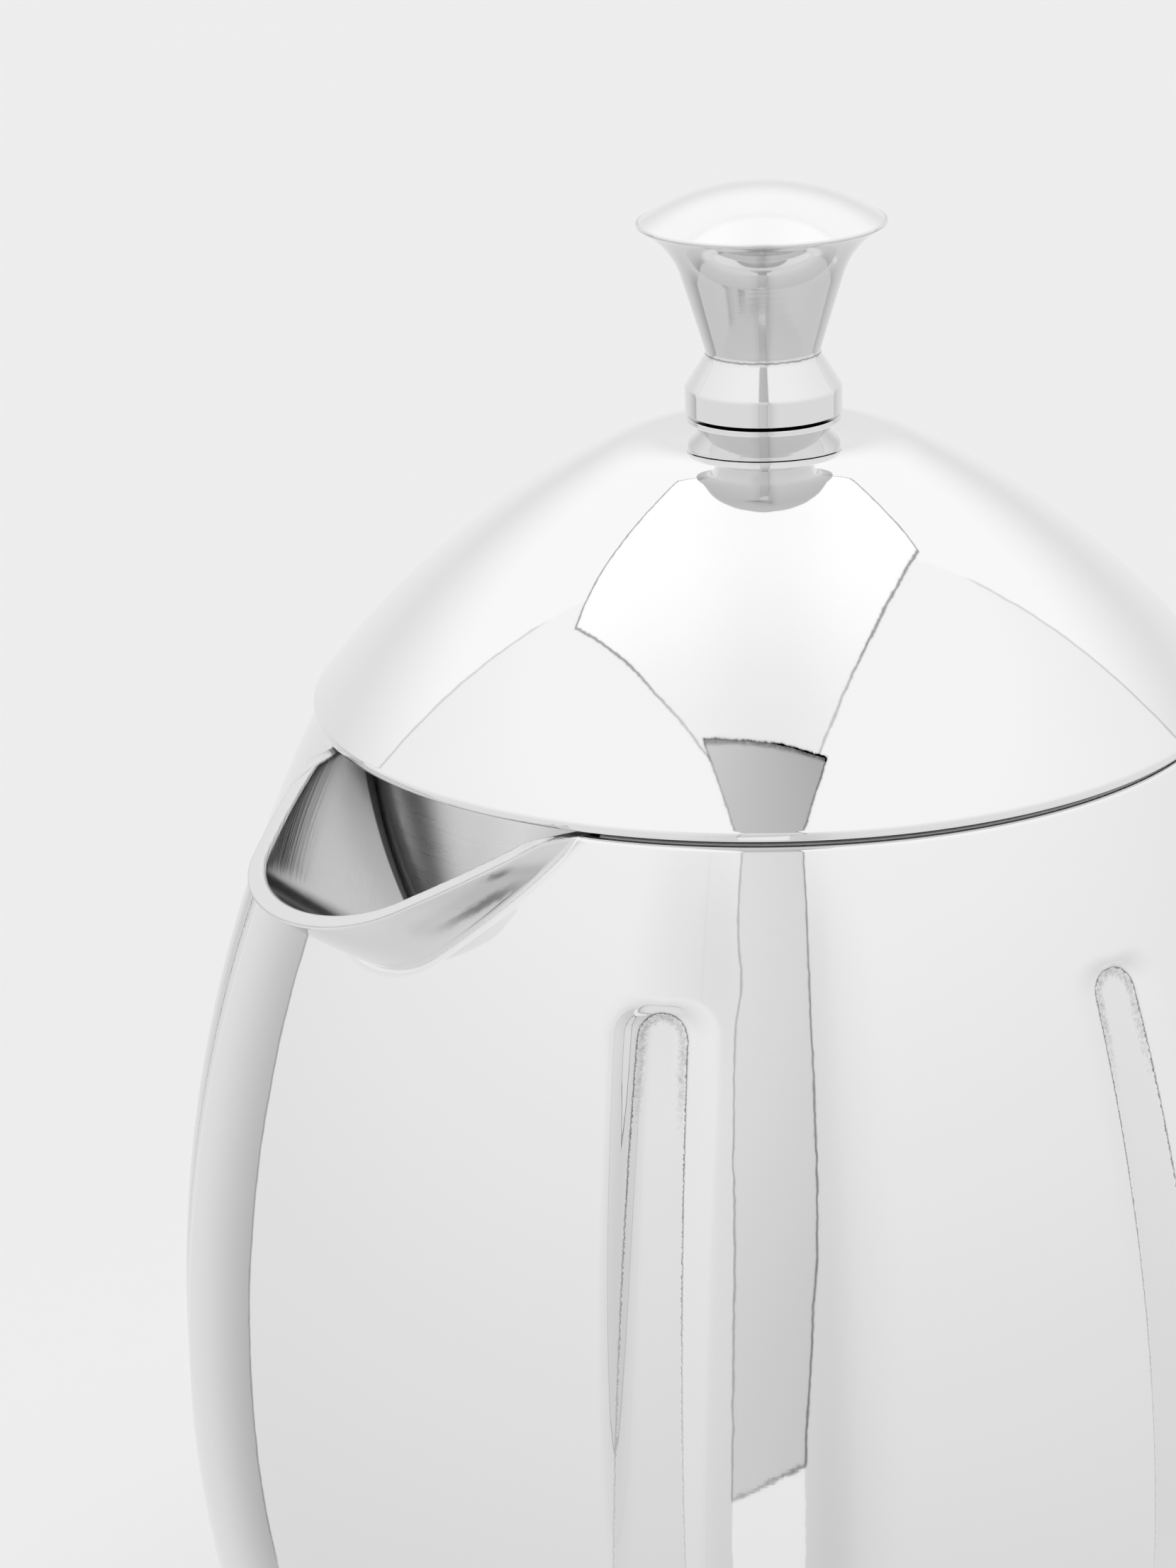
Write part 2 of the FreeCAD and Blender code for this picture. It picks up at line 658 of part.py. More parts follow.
def make_guide_nut():
    body = doc.addObject("PartDesign::Body", "guide_nut")
    sketch = new_sketch(body, "nut_outline", "XY_Plane", "nut_bottom")
    corner = value("nut_flats") / math.sqrt(3)
    points = [FreeCAD.Vector(corner * math.cos(i * math.pi / 3), corner * math.sin(i * math.pi / 3), 0)
              for i in range(6)]
    for i in range(6):
        sketch.addGeometry(Part.LineSegment(points[i], points[(i + 1) % 6]))
    for i in range(6):
        sketch.addConstraint(Sketcher.Constraint("Coincident", i, 2, (i + 1) % 6, 1))
    guide = sketch.addGeometry(Part.Circle(FreeCAD.Vector(), FreeCAD.Vector(0, 0, 1), corner), True)
    sketch.addConstraint(Sketcher.Constraint("Coincident", guide, 3, -1, 1))
    for i in range(6):
        sketch.addConstraint(Sketcher.Constraint("PointOnObject", i, 1, guide))
    for i in range(5):
        sketch.addConstraint(Sketcher.Constraint("Equal", i, i + 1))
    sketch.addConstraint(Sketcher.Constraint("PointOnObject", 0, 1, -1))
    dimension(sketch, "Radius", guide, "nut_flats / sqrt(3)")
    bore = sketch.addGeometry(Part.Circle(FreeCAD.Vector(), FreeCAD.Vector(0, 0, 1), value("shank_radius")))
    sketch.addConstraint(Sketcher.Constraint("Coincident", bore, 3, -1, 1))
    dimension(sketch, "Radius", bore, "shank_radius")
    pad = body.newObject("PartDesign::Pad", "nut_pad")
    pad.Profile = sketch
    bind(pad, Length="nut_height")
    doc.recompute()
    return body


# Plunger

def make_plunger():
    knob_body = turned("knob_body", [
        ("rod_radius", "knob_base"),
        ("knob_base_radius", "knob_base"),
        ("knob_base_radius", "knob_base + knob_base_height"),
        ("knob_waist_radius", "knob_base + knob_waist_height"),
        ("knob_neck_radius", "knob_base + knob_neck_height", "knob_flare", -1),
        ("knob_rim_radius", "knob_rim"),
        ("knob_rim_radius", "knob_top"),
        ("cap_radius", "knob_top"),
        ("cap_radius", "cap_floor"),
        (0, "cap_floor"),
        (0, "rod_top"),
        ("rod_radius", "rod_top"),
    ])
    knob_cap = turned("knob_cap", [
        (0, "cap_floor"),
        ("cap_radius", "cap_floor"),
        ("cap_radius", "knob_top", "cap_arc", 1),
        (0, "knob_top + cap_rise"),
    ])
    rod = doc.addObject("Part::Cylinder", "plunger_rod")
    bind(rod, Radius="rod_radius", Height="rod_top - hub_bottom")
    bind(rod, **{"Placement.Base.z": "hub_bottom"})
    boss = turned("rod_boss", [
        ("rod_radius", "plate_upper"),
        ("boss_radius", "plate_upper"),
        ("boss_radius", "plate_upper + boss_height / 2"),
        ("rod_radius + plate_thickness", "plate_upper + boss_height"),
        ("rod_radius", "plate_upper + boss_height"),
    ])
    mesh = turned("filter_mesh", [
        ("rod_radius", "mesh_bottom"),
        ("mesh_radius - mesh_corner", "mesh_bottom", "mesh_corner", 1),
        ("mesh_radius", "mesh_bottom + mesh_corner"),
        ("mesh_radius", "mesh_bottom + mesh_rise"),
        ("mesh_radius - mesh_thickness", "mesh_bottom + mesh_rise"),
        ("mesh_radius - mesh_thickness", "mesh_bottom + mesh_corner", "mesh_corner - mesh_thickness", -1),
        ("mesh_radius - mesh_corner", "mesh_top"),
        ("rod_radius", "mesh_top"),
    ])
    hub = turned("cross_hub", [
        ("rod_radius", "hub_bottom"),
        ("hub_radius", "hub_bottom"),
        ("hub_radius", "filter_height"),
        ("hub_spigot", "filter_height"),
        ("hub_spigot", "mesh_bottom"),
        ("rod_radius", "mesh_bottom"),
    ])
    plates = [make_cross_plate(), make_spring_plate()]
    return [knob_body, knob_cap, rod, boss, mesh, hub, *plates, make_spring()]


def make_cross_plate():
    """The lowest plate, pressed on to the hub that screws on to the rod, with broad petal slots."""
    plate = turned("cross_plate", [
        ("hub_spigot", "filter_height"),
        ("cross_radius", "filter_height"),
        ("cross_radius", "mesh_bottom"),
        ("hub_spigot", "mesh_bottom"),
    ])
    sketch = new_sketch(plate, "petal_slot", "XY_Plane", "mesh_bottom")
    half = "cross_slot_width / 2"
    draw_outline(sketch, [
        ("cross_slot_inner", f"-{half} / 3"),
        ("cross_slot_outer", f"-{half}", "cross_slot_width", 1),
        ("cross_slot_outer", half),
        ("cross_slot_inner", f"{half} / 3"),
    ])
    pocket_pattern(plate, "petal", sketch, CROSS_SLOTS)
    return plate


def make_spring_plate():
    """The upper plate, whose rim keeps the coil spring in the mesh's turned-up edge."""
    plate = turned("spring_plate", [
        ("rod_radius", "mesh_top"),
        ("plate_radius", "mesh_top"),
        ("plate_radius", "plate_upper"),
        ("rod_radius", "plate_upper"),
    ])
    sketch = new_sketch(plate, "plate_hole_outline", "XY_Plane", "plate_upper")
    centre = FreeCAD.Vector(value("plate_hole_circle"), 0, 0)
    sketch.addGeometry(Part.Circle(centre, FreeCAD.Vector(0, 0, 1), value("plate_hole")))
    sketch.addConstraint(Sketcher.Constraint("PointOnObject", 0, 3, -1))
    dimension(sketch, "DistanceX", -1, 1, 0, 3, "plate_hole_circle")
    dimension(sketch, "Radius", 0, "plate_hole")
    pocket_pattern(plate, "plate_hole", sketch, PLATE_HOLES)
    return plate


def biarc(start, start_way, end, end_way):
    """Two tangent arcs from one point and direction to another."""
    chord = end - start
    ways = start_way + end_way
    a = 2 * (1 - start_way.dot(end_way))
    b = 2 * chord.dot(ways)
    reach = (-b + math.sqrt(b * b + 4 * a * chord.dot(chord))) / (2 * a)
    middle = (start + start_way * reach + end - end_way * reach) / 2
    arcs = []
    for first, way, last in ((start, start_way, middle), (end, end_way * -1, middle)):
        span = last - first
        square = way.cross(span).cross(way).normalize()
        radius = span.dot(span) / (2 * span.dot(square))
        centre = first + square * radius
        half_way = ((first - centre) + (last - centre)).normalize() * radius + centre
        arcs.append(Part.Arc(first, half_way, last) if first is start else Part.Arc(last, half_way, first))
    return arcs


def make_spring():
    """A coil spring bent into a ring, as one wire whose two ends stay apart."""
    ring, coil, wire = value("spring_ring"), value("spring_coil"), value("spring_wire")
    height = value("spring_height")
    sweep = math.radians(360 - SPRING_OPENING)

    def on_coil(turn):
        around = sweep * turn / SPRING_TURNS
        roll = 2 * math.pi * turn
        reach = ring + coil * math.cos(roll)
        return FreeCAD.Vector(reach * math.cos(around), reach * math.sin(around),
                              height + coil * math.sin(roll))

    def way(turn, step=1e-4):
        return (on_coil(turn + step) - on_coil(turn - step)).normalize()

    quarters = [i / 4 for i in range(4 * SPRING_TURNS + 1)]
    edges = []
    for first, last in zip(quarters, quarters[1:]):
        edges += [arc.toShape() for arc in biarc(on_coil(first), way(first), on_coil(last), way(last))]
    path = Part.Wire(edges)
    section = Part.Wire(Part.Circle(on_coil(0), way(0), wire).toShape())
    spring = doc.addObject("Part::Feature", "edge_spring")
    spring.Shape = path.makePipeShell([section], True, False)
    least = min((on_coil(t) - on_coil(t + 1)).Length for t in quarters[:-5]) - 2 * wire
    print(f"edge spring: least gap between turns {least:.2f} mm")
    return spring


pieces = make_pot() + make_lid() + make_plunger()
doc.recompute()

for thing in doc.Objects:
    faults = {"Invalid", "Error"} & set(thing.State)
    if faults:
        raise RuntimeError(f"{thing.Label}: {sorted(faults)}")
for piece in pieces:
    shape = piece.Shape
    if shape.isNull() or not shape.isValid() or len(shape.Solids) != 1:
        raise RuntimeError(f"{piece.Label}: not one valid solid ({len(shape.Solids)} solids)")

os.makedirs("parts", exist_ok=True)
for piece in pieces:
    piece.Shape.exportStep(os.path.join("parts", f"{piece.Label}.step"))
    print(f"{piece.Label}: {piece.Shape.Volume / 1000:.2f} cm3")
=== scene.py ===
"""Polished steel coffee press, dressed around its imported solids.

Lengths below are in millimetres and become metres when a mesh is made. +Z is up, the spout points
to -X and the handle to +X.
"""

import math

import bmesh
import bpy
import numpy as np
from mathutils import Matrix


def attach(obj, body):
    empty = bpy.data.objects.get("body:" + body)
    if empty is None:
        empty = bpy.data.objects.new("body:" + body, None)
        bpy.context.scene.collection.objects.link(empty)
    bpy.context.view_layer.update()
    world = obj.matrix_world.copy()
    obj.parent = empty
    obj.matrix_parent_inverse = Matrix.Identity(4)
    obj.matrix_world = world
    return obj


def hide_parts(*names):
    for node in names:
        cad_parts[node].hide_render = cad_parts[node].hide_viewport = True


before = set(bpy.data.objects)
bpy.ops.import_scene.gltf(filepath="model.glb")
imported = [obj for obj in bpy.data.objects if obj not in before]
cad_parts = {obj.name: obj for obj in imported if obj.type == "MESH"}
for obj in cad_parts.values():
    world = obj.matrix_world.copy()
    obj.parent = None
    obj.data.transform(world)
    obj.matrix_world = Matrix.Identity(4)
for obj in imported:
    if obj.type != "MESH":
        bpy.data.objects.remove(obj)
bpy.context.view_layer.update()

MM = 0.001

# Sizes: those of the solids, apart from edges and flutes that follow the photograph more closely

# Pot: its outline from the belly to the rim, its bore and its base
BELLY, BELLY_LEVEL, MOUTH, RIM = 68.0, 70.0, 49.5, 146.8
SHEET, BORE, BORE_FLOOR, BORE_CORNER = 0.6, 45.0, 7.0, 6.0
RIM_ROUND, FLANGE_GAP, NOTCH_ROUND, NOTCH_EDGE = 1.0, 0.75, 0.2, 0.5
SHELL_TOP, SKIN_TOP, SHELL_GAP, SHELL_EASE = RIM - SHEET, RIM - 0.08, 1.6, 0.02
UPPER_ARC = ((SHELL_TOP - BELLY_LEVEL) ** 2 + (BELLY - MOUTH) ** 2) / (2 * (BELLY - MOUTH))
LOWER_ARC, BASE_CORNER, BASE_RECESS, FOOT_WIDTH = 142.0, 9.0, 1.2, 8.0
LOWER_AXIS = BELLY - LOWER_ARC
CORNER_X = LOWER_AXIS + math.sqrt((LOWER_ARC - BASE_CORNER) ** 2 - (BELLY_LEVEL - BASE_CORNER) ** 2)
SEAM_SCALE = LOWER_ARC / (LOWER_ARC - BASE_CORNER)
SEAM_RADIUS = LOWER_AXIS + (CORNER_X - LOWER_AXIS) * SEAM_SCALE
SEAM_LEVEL = BELLY_LEVEL - (BELLY_LEVEL - BASE_CORNER) * SEAM_SCALE

# Flutes: heights, depth and widths, turns in degrees from the spout, and rows and columns of mesh
FLUTE_TOP, FLUTE_END, FLUTE_DEPTH = 129.4, 62.0, 1.15
FLUTE_FLOOR, FLUTE_WALL, FLUTE_HEAD_WALL = 0.8, 5.55, 2.8
FLUTE_FIRST, FLUTE_PITCH, FLUTES_PER_SIDE = 35.0, 49.0, 3
FLUTES = [side * (FLUTE_FIRST + FLUTE_PITCH * i) for side in (-1, 1) for i in range(FLUTES_PER_SIDE)]
FLUTE_SPREAD, FLUTE_COLUMNS, EVEN_STEP, SPOUT_COLUMNS = 6.8, 41, 1.6, 84
WIDE_ROWS_HIGH, HEAD_ROWS_LOW, HEAD_ROWS_HIGH = 110.0, FLUTE_TOP - 3.4, FLUTE_TOP + 5.0

# Spout: three level sections from low to top, its edges, and limits for the search of its heights
LIP_SLOPE, SPOUT_WALL, SPOUT_BACK = math.radians(23.0), 1.3, MOUTH - 9.5
SPOUT_LEVELS = RIM + np.array([-18.8, -7.3, 1.2])
SPOUT_REACH = MOUTH + np.array([2.4, 19.4, 28.0])
SPOUT_ROUND = np.array([6.0, 11.5, 15.0])
SPOUT_CHEEK = np.array([9.0, 18.5, 21.5])
SPOUT_SPAN, WELD_FILLET, LIP_EASE, LIP_NIP = 0.7, 1.0, 0.45, 0.4
BACK_INSET, BACK_DROP, TUCK_DROP = 0.5, 0.4, 0.8
BEAK_LEAST, CHANNEL_LEAST, JUST_INSIDE = 124.0, 118.0, 0.9999

# Handle: its line, its oval and its welds
HANDLE_TOP, HANDLE_LOW, HANDLE_REACH = 126.0, 37.0, 104.0
HANDLE_BULGE, HANDLE_BACK, TOP_BEND, LOW_BEND = 88.0, 90.0, 20.0, 30.0
HANDLE_HALF_WIDTH, HANDLE_HALF_DEPTH, HANDLE_ROOT, HANDLE_LOW_ROOT = 7.5, 4.0, 50.0, 46.0
HANDLE_SWELL, HANDLE_SWELL_RUN, HANDLE_SINK, HANDLE_WELDS_FROM = 0.16, 1.6, 0.45, 30.0

# Seal, lid and collar
REST_GAP, SEAL_THICK, SEAL_WIDTH, SKIRT_CLEARANCE, RUNNING_FIT = 0.3, 0.6, 3.0, 0.4, 0.06
SEAL_LOW, SEAL_INNER = RIM + REST_GAP, BORE - SKIRT_CLEARANCE + RUNNING_FIT
SEAL_HIGH = SEAL_LOW + SEAL_THICK
PLATE_LOW, NUT_HIGH = SEAL_HIGH + REST_GAP, 4.0
LID_EDGE, LID_RADIUS, LID_LIP, LID_DROP, DOME_ARC = SEAL_HIGH, 49.7, 0.5, 0.35, 97.0
CROWN_FLAT, CROWN_BEND, CROWN_ANGLE = 11.5, 13.0, math.radians(27.0)
BEND_RADIUS = CROWN_FLAT + CROWN_BEND * math.sin(CROWN_ANGLE)
DOME_CENTRE = BEND_RADIUS - DOME_ARC * math.sin(CROWN_ANGLE)
DOME_AXIS = LID_EDGE + LID_LIP - math.sqrt(DOME_ARC ** 2 - (LID_RADIUS - DOME_CENTRE) ** 2)
CROWN = DOME_AXIS + DOME_ARC * math.cos(CROWN_ANGLE) + CROWN_BEND * (1 - math.cos(CROWN_ANGLE))
CROWN_RISE, SHANK, BUSH_WALL = 0.5, 4.2, 0.9
COLLAR_FOOT, COLLAR_RADIUS, COLLAR_HIGH, COLLAR_EDGE = 6.6, 8.3, 2.0, 0.55
COLLAR_TOP = CROWN + COLLAR_HIGH

# Knob, its cap and the rod
KNOB_GAP, ROD, ROD_GRIP, ROD_CLEAR, HUB_LOW = 0.4, 2.5, 14.0, 0.02, 14.0
KNOB = COLLAR_TOP + KNOB_GAP
ROD_TOP = KNOB + ROD_GRIP
KNOB_BASE, KNOB_BASE_HIGH, KNOB_WAIST, KNOB_WAIST_HIGH = 8.45, 2.7, 6.1, 6.4
KNOB_NECK, KNOB_NECK_HIGH, KNOB_FLARE = 8.4, 13.9, 9.6
KNOB_RIM, KNOB_RIM_HIGH, KNOB_EDGE, CAP_SEAT, CAP_RISE = 13.35, 20.2, 0.3, 0.25, 3.9
KNOB_TOP, CAP_RADIUS = KNOB + KNOB_RIM_HIGH + KNOB_EDGE, KNOB_RIM - CAP_SEAT


# Meshes

def piece(name, points, body, materials, covers=(), around=True, along=False, finish_rows=None):
    """A grid of points [row, column, xyz] as one smooth mesh. Columns close on themselves when
    around is set, rows when along is set; doubled points at seams and poles are merged."""
    rows, columns = points.shape[:2]
    index = np.arange(rows * columns).reshape(rows, columns)
    if around:
        index = np.concatenate([index, index[:, :1]], axis=1)
    if along:
        index = np.concatenate([index, index[:1]], axis=0)
    quads = np.stack([index[:-1, :-1], index[:-1, 1:], index[1:, 1:], index[1:, :-1]], axis=-1)
    finishes = np.zeros(quads.shape[:2], dtype=np.int32)
    if finish_rows is not None:
        finishes[:] = np.asarray(finish_rows)[:, None]
    quads = quads.reshape(-1, 4)
    mesh = bpy.data.meshes.new(name)
    mesh.from_pydata((points.reshape(-1, 3) * MM).tolist(), [], quads.tolist())
    mesh.polygons.foreach_set("material_index", finishes.ravel())
    tidy = bmesh.new()
    tidy.from_mesh(mesh)
    bmesh.ops.remove_doubles(tidy, verts=tidy.verts, dist=1e-7)
    bmesh.ops.dissolve_degenerate(tidy, edges=tidy.edges, dist=1e-8)
    bmesh.ops.recalc_face_normals(tidy, faces=tidy.faces)
    tidy.to_mesh(mesh)
    tidy.free()
    mesh.polygons.foreach_set("use_smooth", np.ones(len(mesh.polygons), dtype=bool))
    for material in materials:
        mesh.materials.append(material)
    made = bpy.data.objects.new(name, mesh)
    bpy.context.scene.collection.objects.link(made)
    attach(made, body)
    if covers:
        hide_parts(*covers)
    return made


def line(start, end, count):
    """Points spaced evenly on a straight run."""
    return np.linspace(start, end, count)


def legs(corners, counts):
    """Straight runs from each corner to the next."""
    return [line(*leg) for leg in zip(corners, corners[1:], counts)]


def arc(centre, radius, first, last, count):
    """Points on a circle between two angles in degrees, measured from the outward axis."""
    turn = np.radians(np.linspace(first, last, count))
    return np.stack([centre[0] + radius * np.cos(turn), centre[1] + radius * np.sin(turn)], axis=1)


def arc_to(start, end, radius, side, count):
    """The short arc between two points, with its centre to the left (1) or right (-1) of the way."""
    start, end = np.array(start, float), np.array(end, float)
    chord = end - start
    apart = np.hypot(*chord)
    left = np.array([-chord[1], chord[0]]) / apart
    centre = (start + end) / 2 + left * side * math.sqrt(radius ** 2 - apart ** 2 / 4)
    first = math.atan2(*(start - centre)[::-1])
    sweep = math.remainder(math.atan2(*(end - centre)[::-1]) - first, 2 * math.pi)
    return arc(centre, radius, math.degrees(first), math.degrees(first + sweep), count)


def trim(run, cut):
    """A run of points without its first stretch of the given length."""
    steps = np.hypot(*np.diff(run, axis=0).T)
    along = np.concatenate([[0], np.cumsum(steps)])
    cut = min(cut, along[-1] * 0.45)
    start = np.array([np.interp(cut, along, run[:, k]) for k in range(2)])
    hold = np.array([np.interp(min(cut * 1.6, along[-1] * 0.5), along, run[:, k]) for k in range(2)])
    return np.concatenate([[start, hold], run[along > cut * 1.7]])


def joined(runs, roundings):
    """One outline from runs of (radius, height) points. Where two runs meet, both are cut back by
    the rounding and a parabola touching both fills the corner; a row each side holds the flats."""
    runs = [np.asarray(run, float) for run in runs]
    sharp = np.zeros((0, 2))
    outline = []
    corners = []
    for i, rounding in enumerate(roundings):
        after = (i + 1) % len(runs)
        corner = runs[i][-1].copy()
        if rounding > 0:
            runs[i] = trim(runs[i][::-1], rounding)[::-1]
            runs[after] = trim(runs[after], rounding)
            t = np.linspace(0, 1, 7)[1:-1, None]
            a, b = runs[i][-1], runs[after][0]
            corners.append((1 - t) ** 2 * a + 2 * t * (1 - t) * corner + t ** 2 * b)
        else:
            corners.append(sharp)
    for run, corner in zip(runs, corners + [sharp] * (len(runs) - len(corners))):
        outline += [run, corner]
    outline = np.concatenate(outline)
    keep = np.concatenate([[True], np.hypot(*np.diff(outline, axis=0).T) > 1e-5])
    return outline[keep]


def spun(outline, columns=240):
    """An outline of (radius, height) carried round the axis."""
    turn = np.linspace(0, 2 * math.pi, columns, endpoint=False)
    radius, height = outline[:, :1], outline[:, 1:]
    return np.stack([radius * np.cos(turn), radius * np.sin(turn), height + 0 * turn], axis=-1)


# Pot surfaces, worked out in turns about the axis measured from the spout

def egg_reach(height):
    """Radius of the plain pot: one arc above the belly and one below it, level where they meet."""
    rise = height - BELLY_LEVEL
    upper = BELLY - UPPER_ARC + np.sqrt(UPPER_ARC ** 2 - rise ** 2)
    lower = BELLY - LOWER_ARC + np.sqrt(LOWER_ARC ** 2 - rise ** 2)
    return np.where(rise > 0, upper, lower)


def smooth_step(value):
    """A cubic rise from zero to one, level at both ends."""
    value = np.clip(value, 0, 1)
    return value * value * (3 - 2 * value)


def flute_aside(turn, height):
    """Distance round the pot from the middle line of the nearest flute."""
    apart = np.remainder(turn[..., None] - np.radians(FLUTES) + math.pi, 2 * math.pi) - math.pi
    nearest = np.abs(apart).argmin(axis=-1)[..., None]
    return np.take_along_axis(apart, nearest, axis=-1)[..., 0] * egg_reach(height)


def flute_sink(turn, height):
    """Depth of the pressed flutes, by distance from the middle line: a narrow flat floor, then a
    wall of two parabolas that meet half way up. The wall is wide at the sides and steeper round the
    head, and the flute grows shallower downwards until it runs out."""
    over = np.maximum(height - FLUTE_TOP, 0)
    left = 1 - np.clip((height - FLUTE_END) / (FLUTE_TOP - FLUTE_END), 0, 1)
    away = np.hypot(flute_aside(turn + 0 * height, height), over)
    steep = np.square(over / np.maximum(away, 1e-6))
    wall = FLUTE_WALL + (FLUTE_HEAD_WALL - FLUTE_WALL) * steep
    climb = np.clip((away - FLUTE_FLOOR) / wall, 0, 1)
    profile = np.where(climb < 0.5, 2 * climb ** 2, 1 - 2 * (1 - climb) ** 2)
    return FLUTE_DEPTH * (1 - left ** 1.5) * (1 - profile)


def level_curve(values, height):
    """A parabola in height through a value at each of the spout's three levels."""
    a, b, c = SPOUT_LEVELS
    return (values[0] * (height - b) * (height - c) / ((a - b) * (a - c))
            + values[1] * (height - a) * (height - c) / ((b - a) * (b - c))
            + values[2] * (height - a) * (height - b) / ((c - a) * (c - b)))


def beak_reach(turn, height, inset=0.0):
    """Radius of the beak seen from the axis: a round tip, and past the point where they touch it,
    the straight cheeks that run back to the mouth."""
    level = np.maximum(height - inset, SPOUT_LEVELS[0] - 6)
    tip = level_curve(SPOUT_REACH, level) - inset
    bend = np.maximum(level_curve(SPOUT_ROUND, level) - inset / 2, 0.8)
    half = np.maximum(level_curve(SPOUT_CHEEK, level) - inset, 1.0)
    centre = tip - bend
    back = centre - SPOUT_BACK
    lean = np.arctan2(back, half) + np.arcsin(np.clip(bend / np.hypot(back, half), -1, 1))
    touch = np.arctan2(bend * np.sin(lean), centre + bend * np.cos(lean))
    aside = np.abs(turn)
    round_tip = centre * np.cos(aside) + np.sqrt(np.maximum(bend ** 2 - (centre * np.sin(aside)) ** 2, 0))
    cheek = (centre * np.cos(lean) + bend) / np.cos(aside - lean)
    return np.where(aside < touch, round_tip, cheek)


def solve(rising, low, high, rounds=50):
    """The value where a rising function passes zero, by halving, for whole arrays at once."""
    low, high = low + 0.0, high + 0.0
    for _ in range(rounds):
        middle = (low + high) / 2
        above = rising(middle) > 0
        high = np.where(above, middle, high)
        low = np.where(above, low, middle)
    return (low + high) / 2


def lip_level(out):
    """Height of the lip at a distance out along the spout: the rim, then a slope down."""
    return np.minimum(RIM, RIM - (out - MOUTH) * math.tan(LIP_SLOPE))


def skin_reach(turn, height):
    """Radius of the fluted pot with the beak raised out of it, and a small weld fillet between."""
    plain = egg_reach(height) - flute_sink(turn, height)
    near_beak = np.clip(turn, -SPOUT_SPAN, SPOUT_SPAN)
    beak = np.where(np.abs(turn) < SPOUT_SPAN, beak_reach(near_beak, height), 0)
    blend = np.clip(0.5 + 0.5 * (beak - plain) / WELD_FILLET, 0, 1)
    return plain + (beak - plain) * blend + WELD_FILLET * blend * (1 - blend)


def turned_out(turn, reach, height):
    """Points from turns about the axis, measured from the spout, and radii and heights."""
    return np.stack(np.broadcast_arrays(-reach * np.cos(turn), -reach * np.sin(turn), height), axis=-1)


# Turns at which the beak's outside meets the pot's edge, and its inside the bore
WELD_END = float(solve(lambda t: egg_reach(SHELL_TOP) - beak_reach(t, RIM), 0.2, 0.6))
BORE_END = float(solve(lambda t: BORE - beak_reach(t, RIM, SPOUT_WALL), 0.2, 0.62))
SPOUT_FLOOR = SPOUT_LEVELS[0] + SPOUT_WALL


def weld_level(turn):
    """Height at which the beak leaves the pot, and the pot's top edge elsewhere."""
    met = solve(lambda h: beak_reach(turn, h) - egg_reach(h), 0 * turn + BEAK_LEAST, 0 * turn + SHELL_TOP)
    return np.where(np.abs(turn) < WELD_END, met, SHELL_TOP)


def notch_level(turn):
    """Height at which the spout's channel opens into the bore."""
    met = solve(lambda h: beak_reach(turn, h, SPOUT_WALL) - BORE, 0 * turn + CHANNEL_LEAST, 0 * turn + RIM)
    return np.where(np.abs(turn) < BORE_END, np.maximum(met, SPOUT_FLOOR), RIM)


def pot_turns():
    """Turns about the axis, close together at the flutes and the spout, and even elsewhere."""
    even = np.radians(np.arange(-180, 180, EVEN_STEP))
    spread = np.linspace(-FLUTE_SPREAD, FLUTE_SPREAD, FLUTE_COLUMNS)
    flutes = np.radians(np.array(FLUTES)[:, None] + spread).ravel()
    spout = WELD_END * np.linspace(-1.02, 1.02, SPOUT_COLUMNS)
    near = np.abs(np.remainder(even[:, None] - np.radians(FLUTES) + math.pi, 2 * math.pi) - math.pi).min(1)
    even = even[(near > math.radians(FLUTE_SPREAD + 0.3)) & (np.abs(even) > 1.03 * WELD_END)]
    return np.sort(np.concatenate([even, flutes, spout]))


def make_shell():
    """The outer skin between the foot seam and the top edge, with rows close together at the heads
    of the flutes, and a plain inner skin behind it. Each point also keeps its distance from the
    nearest flute's middle line, for the painted shade in the flutes."""
    turn = pot_turns()
    past_weld = (np.abs(turn) - WELD_END) / SHELL_EASE + 1
    top = weld_level(turn) + (SKIN_TOP - SHELL_TOP) * smooth_step(past_weld)
    bands = ((SEAM_LEVEL, WIDE_ROWS_HIGH, 54), (WIDE_ROWS_HIGH, HEAD_ROWS_LOW, 16),
             (HEAD_ROWS_LOW, HEAD_ROWS_HIGH, 56))
    levels = [np.linspace(low, high, count, endpoint=False) for low, high, count in bands]
    levels = np.concatenate(levels + [np.linspace(HEAD_ROWS_HIGH, SKIN_TOP, 24)])
    share = (levels - SEAM_LEVEL) / (SKIN_TOP - SEAM_LEVEL)
    height = SEAM_LEVEL + (top - SEAM_LEVEL) * share[:, None]
    outer = turned_out(turn, skin_reach(turn, height), height)
    back_share = np.linspace(1, 0, 12)[:, None]
    back = SEAM_LEVEL + (top - SEAM_LEVEL) * back_share
    inset = SHEET + SHELL_GAP * smooth_step(np.minimum(back_share, 1 - back_share) * 9)
    inner = turned_out(turn, egg_reach(back) - inset, back)
    shell = piece("outer_shell_skin", np.concatenate([outer, inner]), "pot",
                  [PRESSED], ["outer_shell"], along=True)
    places = np.zeros(len(shell.data.vertices) * 3)
    shell.data.vertices.foreach_get("co", places)
    x, y, z = places.reshape(-1, 3).T / MM
    aside = np.abs(flute_aside(np.arctan2(-y, -x), np.minimum(z, SKIN_TOP)))
    shell.data.attributes.new("flute_aside", "FLOAT", "POINT").data.foreach_set("value", aside)
    return shell


def lip_height(turn, inset):
    """Height at which the beak's side, set in by a wall or not, reaches the lip."""
    return solve(lambda h: h - lip_level(beak_reach(turn, h, inset) * np.cos(turn)),
                 0 * turn + BEAK_LEAST, 0 * turn + RIM)


